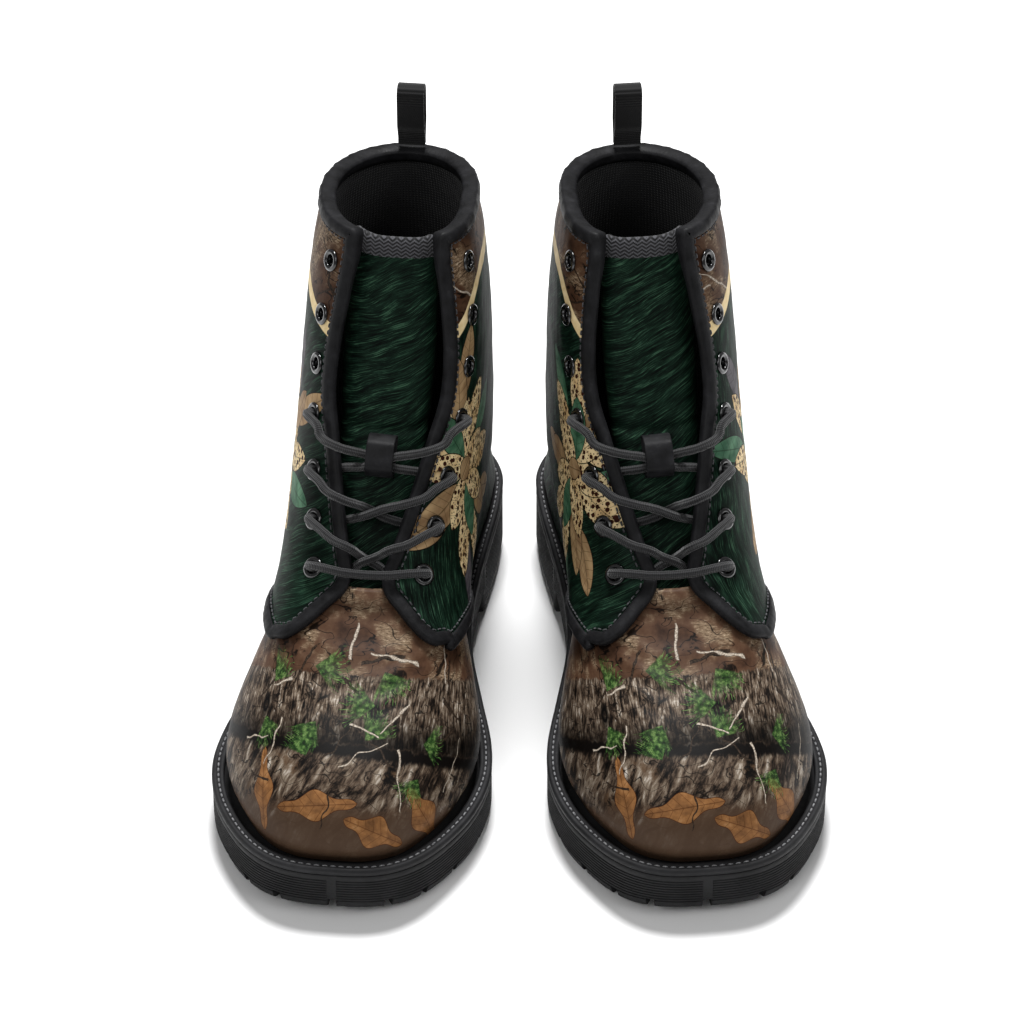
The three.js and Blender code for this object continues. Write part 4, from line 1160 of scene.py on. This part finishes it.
def woodland(g, place, toe):
    """The printed woodland's ground: brown and tan mottling, dark gaps and cracks and, on the toe, streaky rock and a
    fallen log with knots.
    """
    x, y, _ = g.parts(place)
    soft = g.noise(place, 0.55, 5.0, 0.6)
    colour = g.ramp(soft, [(0.32, tone(52, 36, 28)), (0.45, tone(84, 62, 48)), (0.56, tone(100, 78, 62)),
                           (0.68, tone(140, 116, 92))])
    fine = g.noise(g.vector("MULTIPLY", place, (1.6, 6, 1)), 2.4, 5.0, 0.75)
    tan = g.ramp(fine, [(0.34, tone(52, 42, 34)), (0.47, tone(112, 94, 76)), (0.6, tone(158, 140, 118)),
                        (0.72, tone(206, 194, 176))])
    colour = g.mix(g.step(soft, 0.5, 0.62), colour, tan)
    if toe:
        ragged = g.noise(g.vector("MULTIPLY", place, (5, 1.2, 1)), 1.0, 4.0, 0.6)
        level = g.maths("MULTIPLY_ADD", ragged, 0.6, g.maths("SUBTRACT", y, 0.3))
        under = g.maths("MULTIPLY_ADD", x, 0.06, level)
        rock = bark(g, g.turned(place, 0.5), 2.6, 0.7, 3.0)
        rock = g.mix(g.step(soft, 0.56, 0.64, 0.0, 0.7), rock, tone(96, 76, 58))
        colour = g.mix(g.step(under, 5.5, 5.7, 1.0, 0.0), colour, rock)
        log = bark(g, place, 7.5, 1.3, 11.0)
        shade = g.step(y, 5.5, 7.3, 0.14, 1.05)
        log = g.mix(1.0, log, g.join(shade, shade, shade), "MULTIPLY")
        for kx, ky in ((-4.4, 7.0), (1.1, 7.0)):
            knot = g.vector("LENGTH", g.vector("MULTIPLY", g.vector("SUBTRACT", place, (kx, ky, 0)), (1.3, 0.85, 0)))
            rings = g.maths("SINE", g.maths("MULTIPLY", knot, 22.0))
            dark = g.maths("MULTIPLY", g.step(knot, 0.3, 0.55, 1.0, 0.0), g.step(rings, -0.6, 0.6, 1.0, 0.7))
            log = g.mix(dark, log, tone(10, 8, 7))
        colour = g.mix(g.maths("MULTIPLY", g.step(under, 5.5, 5.65), g.step(level, 8.5, 8.6, 1.0, 0.0)), colour, log)
        colour = g.mix(g.band(under, 5.0, 5.6, 0.14), colour, tone(16, 12, 10))
    gaps = g.noise(place, 0.9, 6.0, 0.7, 0.8)
    colour = g.mix(g.step(gaps, 0.42, 0.36, 0.0, 0.9), colour, tone(14, 11, 9))
    web = g.noise(g.vector("MULTIPLY", place, (0.5, 0.8, 1)), 1.3, 2.0, 0.45, 0.3)
    crack = g.step(g.maths("ABSOLUTE", g.maths("SUBTRACT", web, 0.5)), 0.004, 0.009, 1.0, 0.0)
    return g.mix(g.maths("MULTIPLY", crack, 0.85), colour, tone(16, 12, 10))


def strewn(count, start):
    """Even but unordered pairs of shares from 0 to 1, one for each of count things."""
    return [((start + 0.754878 * i) % 1.0, (start + 0.56984 * i) % 1.0) for i in range(1, count + 1)]


def strewn_twigs(count, first, thick):
    """Twigs over the toe: start, end and the thickness at each, in centimetres round and up."""
    made = []
    for a, b in strewn(count, first):
        start = (11.0 * a - 5.5, 3.2 + 6.6 * b)
        turn = 2 * math.pi * ((a + 3.0 * b) % 1.0)
        long = 1.2 + 1.6 * ((5.0 * a + b) % 1.0)
        end = (start[0] + long * math.cos(turn), start[1] + long * math.sin(turn))
        made.append((start, end, thick * (0.6 + b), thick * (0.4 + 0.5 * b)))
    return made


def strewn_leaves(count, first):
    """Oak leaves on the ground: centre, turn, half length, half width, how lobed."""
    return [((10.0 * a - 5.0, 1.6 + 1.8 * b), 2 * math.pi * ((2.0 * a + b) % 1.0), 1.3 + 0.6 * b,
             0.6 + 0.3 * a, 6.0) for a, b in strewn(count, first)]


def strewn_tufts(count, first):
    """Tufts of pine needles: root, turn, length, spread."""
    return [((10.4 * a - 5.2, 3.6 + 5.4 * b), 2 * math.pi * ((3.0 * a + b) % 1.0), 1.45 + 0.25 * b,
             0.8 + 0.1 * a) for a, b in strewn(count, first)]


PALE_TWIGS = strewn_twigs(11, 0.21, 0.12)
DARK_TWIGS = strewn_twigs(14, 0.67, 0.15)
OAK_LEAVES = strewn_leaves(4, 0.4)
TUFTS = strewn_tufts(10, 0.83)


def camouflage():
    g = Graph("camouflage_print")
    place = g.attribute("pattern")
    colour = woodland(g, place, True)
    autumn = g.ramp(g.noise(place, 1.6, 4.0, 0.6), [(0.3, tone(104, 74, 48)), (0.55, tone(146, 106, 68)),
                                                    (0.75, tone(172, 134, 94))])
    _, y, _ = g.parts(place)
    ragged = g.noise(place, 0.8, 4.0, 0.6)
    earth = g.step(g.maths("MULTIPLY_ADD", ragged, 2.0, y), 3.4, 4.2, 1.0, 0.0)
    colour = g.mix(g.maths("MULTIPLY", earth, 0.92), colour, tone(86, 68, 54))
    for centre, turn, long, wide, lobes in OAK_LEAVES:
        colour = paint_leaf(g, colour, place, centre, turn, long, wide, autumn, lobes, 0.04, tone(70, 36, 14))
    twigs = Twigs(g, place)
    for start, end, thick, thin in DARK_TWIGS:
        colour = twigs.paint(g, colour, start, end, thick, thin, twigs.dark)
    green = g.ramp(g.noise(place, 4.5, 2.0, 0.6), [(0.34, tone(28, 48, 26)), (0.5, tone(66, 100, 50)),
                                                   (0.66, tone(126, 156, 94))])
    for i, (root, turn, long, spread) in enumerate(TUFTS):
        colour = tuft(g, colour, place, green, root, turn, long, spread, 7.0 * i)
    for start, end, thick, thin in PALE_TWIGS:
        colour = twigs.paint(g, colour, start, end, thick, thin, twigs.pale)
    grain = g.noise(place, 26.0, 3.0, 0.6)
    bump = g.bump(grain, 0.00008, 0.5)
    return g.finish(g.deepened(colour, 1.15), g.step(grain, 0.3, 0.7, 0.42, 0.56), bump, Specular_IOR_Level=0.08)


def fur_colour(g, place, lean=0.42):
    """Dark green streaks, combed one way."""
    combed = g.turned(place, lean)
    swirl = g.noise(place, 0.35, 2.0, 0.5, output="Color")
    swirl = g.vector("MULTIPLY", g.vector("SUBTRACT", swirl, (0.5, 0.5, 0.5)), (0.9, 0.9, 0))
    hair = g.vector("MULTIPLY", g.vector("ADD", combed, swirl), (0.9, 24.0, 1))
    strands = g.noise(hair, 1.0, 3.0, 0.75, 0.1)
    clump = g.noise(g.vector("MULTIPLY", g.vector("ADD", combed, swirl), (0.7, 3.6, 1)), 1.0, 3.0, 0.55)
    both = g.maths("MULTIPLY_ADD", clump, 0.35, g.maths("MULTIPLY", strands, 0.75))
    colour = g.ramp(both, [(0.44, tone(2, 5, 4)), (0.54, tone(10, 24, 17)), (0.61, tone(22, 44, 33)),
                           (0.69, tone(58, 88, 68))])
    return colour, both


def fur():
    g = Graph("green_fur_print")
    place = g.attribute("pattern")
    colour, height = fur_colour(g, place, -0.5)
    bump = g.bump(height, 0.0002, 0.35)
    return g.finish(colour, 0.55, bump, Specular_IOR_Level=0.05)


def petals():
    """The side print's leaves and petals: centre, turn, half length, half width, fill. Centimetres from its middle."""
    rings = ((8, 3.7, 1.35, 0.5, 0.2, ("green", "tan", "grey")), (9, 2.5, 1.3, 0.56, 0.55, ("cream", "tan", "cream")),
             (7, 1.35, 1.15, 0.56, 0.1, ("cream", "cream", "green")))
    made = []
    for count, out, long, wide, start, fills in rings:
        for i in range(count):
            turn = start + 2 * math.pi * i / count
            made.append(((out * 0.72 * math.cos(turn), out * 1.12 * math.sin(turn)), turn, long, wide,
                         fills[i % len(fills)]))
    return made + [((0.0, 0.0), 0.4, 0.5, 0.42, "tan")]


def motif_fills(g, place):
    spots = g.cells(place, 3.4, randomness=0.85)["Distance"]
    small = g.cells(g.vector("ADD", place, (3.3, 1.1, 0)), 7.5, randomness=0.9)["Distance"]
    dots = g.maths("MAXIMUM", g.step(spots, 0.24, 0.3, 1.0, 0.0), g.step(small, 0.16, 0.22, 1.0, 0.0))
    wash = g.noise(place, 1.2, 3.0, 0.5)
    cream = g.ramp(wash, [(0.3, tone(196, 164, 116)), (0.6, tone(228, 206, 160))])
    return {
        "cream": g.mix(dots, cream, tone(52, 24, 16)),
        "green": g.ramp(wash, [(0.35, tone(46, 84, 62)), (0.65, tone(88, 128, 100))]),
        "grey": g.ramp(wash, [(0.35, tone(62, 58, 64)), (0.65, tone(96, 92, 96))]),
        "tan": g.ramp(wash, [(0.35, tone(132, 104, 74)), (0.65, tone(172, 144, 106))]),
    }


def quarter_print():
    g = Graph("quarter_print")
    place = g.attribute("pattern")
    flower = g.vector("MULTIPLY", g.attribute("motif"), (0.84, 0.84, 1))
    colour, height = fur_colour(g, place, 0.9)
    fills = motif_fills(g, flower)
    for centre, turn, long, wide, fill in petals():
        colour = paint_leaf(g, colour, flower, centre, turn, long, wide, fills[fill], line=0.05)
    above = g.parts(flower)[2]
    stripe = g.ramp(g.noise(place, 2.0, 2.0, 0.5), [(0.3, tone(214, 188, 136)), (0.7, tone(236, 216, 172))])
    colour = g.mix(g.step(above, -0.02, 0.02), colour, stripe)
    cuff = woodland(g, place, False)
    twigs = Twigs(g, place)
    for i, (start, end) in enumerate((((9.5, 18.0), (12.5, 21.5)), ((-12.5, 18.4), (-9.0, 20.8)),
                                      ((6.0, 19.5), (9.5, 17.0)), ((-8.0, 17.0), (-5.0, 20.5)),
                                      ((11.0, 19.2), (13.5, 19.6)), ((-13.5, 20.4), (-10.5, 18.6)))):
        cuff = twigs.paint(g, cuff, start, end, 0.16, 0.08, twigs.dark if i % 2 else twigs.pale)
    colour = g.mix(g.step(above, 0.68, 0.72), colour, g.deepened(cuff, 1.2))
    grain = g.noise(place, 26.0, 3.0, 0.6)
    height = g.maths("MULTIPLY_ADD", grain, 0.4, g.maths("MULTIPLY", height, 0.6))
    return g.finish(colour, g.step(grain, 0.3, 0.7, 0.44, 0.58), g.bump(height, 0.00012, 0.5),
                    Specular_IOR_Level=0.05)


def leather():
    g = Graph("charcoal_leather")
    place = g.place()
    grain = g.cells(place, 1500.0, "DISTANCE_TO_EDGE", dimensions="3D")["Distance"]
    cloud = g.noise(place, 160.0, 4.0, 0.6)
    folds = g.noise(g.vector("MULTIPLY", place, (1, 1, 0.4)), 420.0, 3.0, 0.6, 0.6)
    colour = g.ramp(cloud, [(0.3, tone(14, 14, 15)), (0.6, tone(27, 27, 29)), (0.8, tone(44, 44, 46))])
    below = g.bump(folds, 0.0004, 0.45)
    return g.finish(colour, g.step(cloud, 0.3, 0.7, 0.44, 0.62), g.bump(grain, 0.00008, 0.4, below),
                    Specular_IOR_Level=0.12)


def rubber(name, low, high):
    g = Graph(name)
    place = g.place()
    cloud = g.noise(place, 55.0, 4.0, 0.6)
    scuffs = g.noise(g.vector("MULTIPLY", place, (1, 1, 6)), 300.0, 3.0, 0.65)
    speck = g.noise(place, 2600.0, 2.0, 0.5)
    colour = g.ramp(cloud, [(0.3, low), (0.7, high)])
    colour = g.mix(g.step(scuffs, 0.66, 0.8, 0.0, 0.25), colour, tone(96, 94, 92))
    return g.finish(colour, g.step(scuffs, 0.3, 0.7, 0.52, 0.7), g.bump(speck, 0.00005, 0.5))


def mesh_cloth():
    g = Graph("mesh_lining")
    place = g.attribute("pattern")
    holes = g.cells(g.vector("MULTIPLY", place, (1, 1, 0)), 7.5, randomness=0.0)["Distance"]
    thread = g.step(holes, 0.2, 0.42)
    colour = g.mix(thread, tone(2, 2, 3), tone(24, 24, 26))
    return g.finish(colour, 0.8, g.bump(thread, 0.0003, 0.8), Sheen_Weight=0.15)


def knit():
    g = Graph("knitted_edge")
    x, y, z = g.parts(g.place())
    zig = g.maths("PINGPONG", g.maths("MULTIPLY", x, 560.0), 1.0)
    rows = g.maths("SINE", g.maths("MULTIPLY", g.maths("MULTIPLY_ADD", zig, 0.0011, z), 4600.0))
    colour = g.mix(g.step(rows, -0.4, 0.8), tone(16, 16, 18), tone(72, 72, 76))
    return g.finish(colour, 0.8, g.bump(rows, 0.0003, 0.7), Sheen_Weight=0.2)


def webbing():
    g = Graph("black_webbing")
    x, y, z = g.parts(g.place())
    weft = g.maths("SINE", g.maths("MULTIPLY", z, 9500.0))
    warp = g.maths("SINE", g.maths("MULTIPLY", x, 8200.0))
    weave = g.maths("MULTIPLY", weft, warp)
    colour = g.mix(g.step(weave, -0.7, 0.9), tone(2, 2, 3), tone(13, 13, 14))
    return g.finish(colour, 0.72, g.bump(weave, 0.00012, 0.6), Sheen_Weight=0.2)


def lace_cord():
    g = Graph("braided_lace")
    u, v, _ = g.parts(g.attribute("pattern"))
    round_ = g.maths("MULTIPLY", u, 8 * math.pi)
    left = g.maths("COSINE", g.maths("MULTIPLY_ADD", v, -42.0, round_))
    right = g.maths("COSINE", g.maths("MULTIPLY_ADD", v, 42.0, round_))
    braid = g.maths("MULTIPLY", left, right)
    # The lighter tone on the crests of the braid's strands is a painted highlight; the cord itself is near-black all
    # over.
    colour = g.mix(g.step(braid, -0.6, 0.8), tone(8, 8, 9), tone(40, 40, 42))
    return g.finish(colour, 0.62, g.bump(braid, 0.0003, 0.7), Sheen_Weight=0.25)


def thread(name, low, high):
    g = Graph(name)
    fibre = g.noise(g.place(), 1800.0, 2.0, 0.6)
    return g.finish(g.ramp(fibre, [(0.35, low), (0.65, high)]), 0.7, g.bump(fibre, 0.0001, 0.5))


def enamel():
    g = Graph("black_enamel")
    cloud = g.noise(g.place(), 700.0, 2.0, 0.5)
    colour = g.ramp(cloud, [(0.3, tone(6, 6, 7)), (0.7, tone(15, 15, 17))])
    return g.finish(colour, g.step(cloud, 0.3, 0.7, 0.16, 0.24), Specular_IOR_Level=0.5, Coat_Weight=0.6,
                    Coat_Roughness=0.08)


def board():
    g = Graph("fibreboard")
    fibre = g.noise(g.place(), 900.0, 4.0, 0.7)
    return g.finish(g.ramp(fibre, [(0.3, tone(120, 100, 74)), (0.7, tone(158, 138, 106))]), 0.85,
                    g.bump(fibre, 0.0001, 0.5))


def footbed_cloth():
    g = Graph("footbed_cloth")
    place = g.place()
    x, y, _ = g.parts(place)
    weave = g.maths("MULTIPLY", g.maths("SINE", g.maths("MULTIPLY", x, 3800.0)),
                    g.maths("SINE", g.maths("MULTIPLY", y, 3800.0)))
    colour = g.mix(g.step(weave, -0.6, 0.8), tone(14, 14, 15), tone(44, 44, 46))
    return g.finish(colour, 0.85, g.bump(weave, 0.0003, 0.6), Sheen_Weight=0.2)


MATERIALS = {
    "camouflage": camouflage(),
    "quarter": quarter_print(),
    "fur": fur(),
    "leather": leather(),
    "rubber": rubber("charcoal_rubber", tone(18, 18, 19), tone(32, 32, 33)),
    "welt": rubber("welt_rubber", tone(20, 20, 21), tone(38, 38, 40)),
    "mesh": mesh_cloth(),
    "knit": knit(),
    "webbing": webbing(),
    "lace": lace_cord(),
    "pale_thread": thread("pale_thread", tone(84, 84, 86), tone(150, 150, 152)),
    "dark_thread": thread("dark_thread", tone(34, 34, 36), tone(92, 92, 95)),
    "enamel": enamel(),
    "board": board(),
    "footbed": footbed_cloth(),
}


# ---------------------------------------------------------------- the two boots
def stand_in(piece, body, slot, *nodes):
    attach(piece, body)
    if nodes:
        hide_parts(*nodes)


def build(boot):
    def node(name):
        return f"{boot}_{name}"

    stand_in(outsole(boot), "boots", "sole_rubber", node("outsole"))
    stand_in(welt(boot), "boots", "sole_rubber", node("welt"))
    stand_in(welt_stitches(boot), "boots", "lace_cord")
    stand_in(vamp(boot), "boots", "camouflage_leather", node("vamp"))
    for side, word in ((1, "inner"), (-1, "outer")):
        stand_in(quarter(boot, side), "boots", "printed_leather", node(f"quarter_{word}"))
        for row in range(len(EYELETS)):
            stand_in(eyelet(boot, side, row), "boots", "eyelet_metal", node(f"eyelet_{word}_{row + 1}"))
    stand_in(lining(boot), "boots", "mesh_lining", node("lining"))
    tongue_piece = tongue(boot)
    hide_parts(node("tongue_base"), node("tongue_top"))
    blend_tongue(tongue_piece, boot)
    stand_in(tongue_rim(boot), node("tongue_flap"), "webbing", node("tongue_rim"))
    stand_in(lace_keeper(boot), "boots", "binding_leather", node("lace_keeper"))
    stand_in(collar_binding(boot), "boots", "binding_leather", node("collar_binding"))
    for piece in edge_stitches(boot):
        stand_in(piece, "boots", "lace_cord")
    stand_in(pull_loop(boot), node("loop"), "webbing", node("pull_loop"))
    stand_in(lace(boot), "boots", "lace_cord", node("lace"))
    for name, material in (("insole_board", "board"), ("heel_counter", "board"), ("footbed", "footbed")):
        frame["nodes"][node(name)].data.materials.clear()
        frame["nodes"][node(name)].data.materials.append(MATERIALS[material])


def blend_tongue(piece, boot):
    """Works out points on both sides of the tongue's seam, which nothing uses, and bakes the tongue's placement into
    its mesh; the tongue is not bent.
    """
    start = place(lifted(math.pi, SEAM_S - 0.045, -8.8), boot)
    end = place(lifted(math.pi, SEAM_S + 0.045, -8.8), boot)
    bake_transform(piece)


for boot in SIDES:
    build(boot)


# ---------------------------------------------------------------- floor, light and camera
def floor():
    mesh = bpy.data.meshes.new("floor")
    size = 6.0
    mesh.from_pydata([(-size, -size, 0), (size, -size, 0), (size, size, 0), (-size, size, 0)], [], [(0, 1, 2, 3)])
    made = bpy.data.objects.new("floor", mesh)
    collection.objects.link(made)
    g = Graph("pale_floor")
    mesh.materials.append(g.finish((0.9, 0.9, 0.9, 1), 0.9, Specular_IOR_Level=0.1))


def light(name, place_, aim, size, power):
    lamp = bpy.data.lights.new(name, "AREA")
    lamp.shape = "DISK"
    lamp.size = size
    lamp.energy = power
    made = bpy.data.objects.new(name, lamp)
    made.location = place_
    made.rotation_euler = (Vector(aim) - Vector(place_)).to_track_quat("-Z", "Y").to_euler()
    collection.objects.link(made)


def sky(strength):
    world = bpy.data.worlds.new("studio")
    world.use_nodes = True
    world.node_tree.nodes["Background"].inputs["Color"].default_value = (1, 1, 1, 1)
    world.node_tree.nodes["Background"].inputs["Strength"].default_value = strength
    bpy.context.scene.world = world


def camera(elevation, distance, lens, target, shift):
    data = bpy.data.cameras.new("camera")
    data.lens = lens
    data.sensor_width = 36
    data.shift_x, data.shift_y = shift
    data.clip_end = 50
    made = bpy.data.objects.new("camera", data)
    away = Vector((0, -math.cos(elevation), math.sin(elevation)))
    made.location = Vector(target) + away * distance
    made.rotation_euler = (-away).to_track_quat("-Z", "Y").to_euler()
    collection.objects.link(made)
    bpy.context.scene.camera = made


floor()
sky(0.24)
light("back_key", (0.0, 0.9, 2.4), (0, 0, 0.02), 0.7, 88)
light("front_fill", (-0.9, -1.6, 1.7), (0, 0, 0.1), 1.2, 13)
light("side_fill", (1.4, -0.9, 1.6), (0, 0, 0.1), 1.2, 9)
camera(math.radians(37), 2.0, 168.75, (0, 0, 0.095), (-0.0073, 0.0034))
bpy.context.scene.view_settings.view_transform = "Standard"
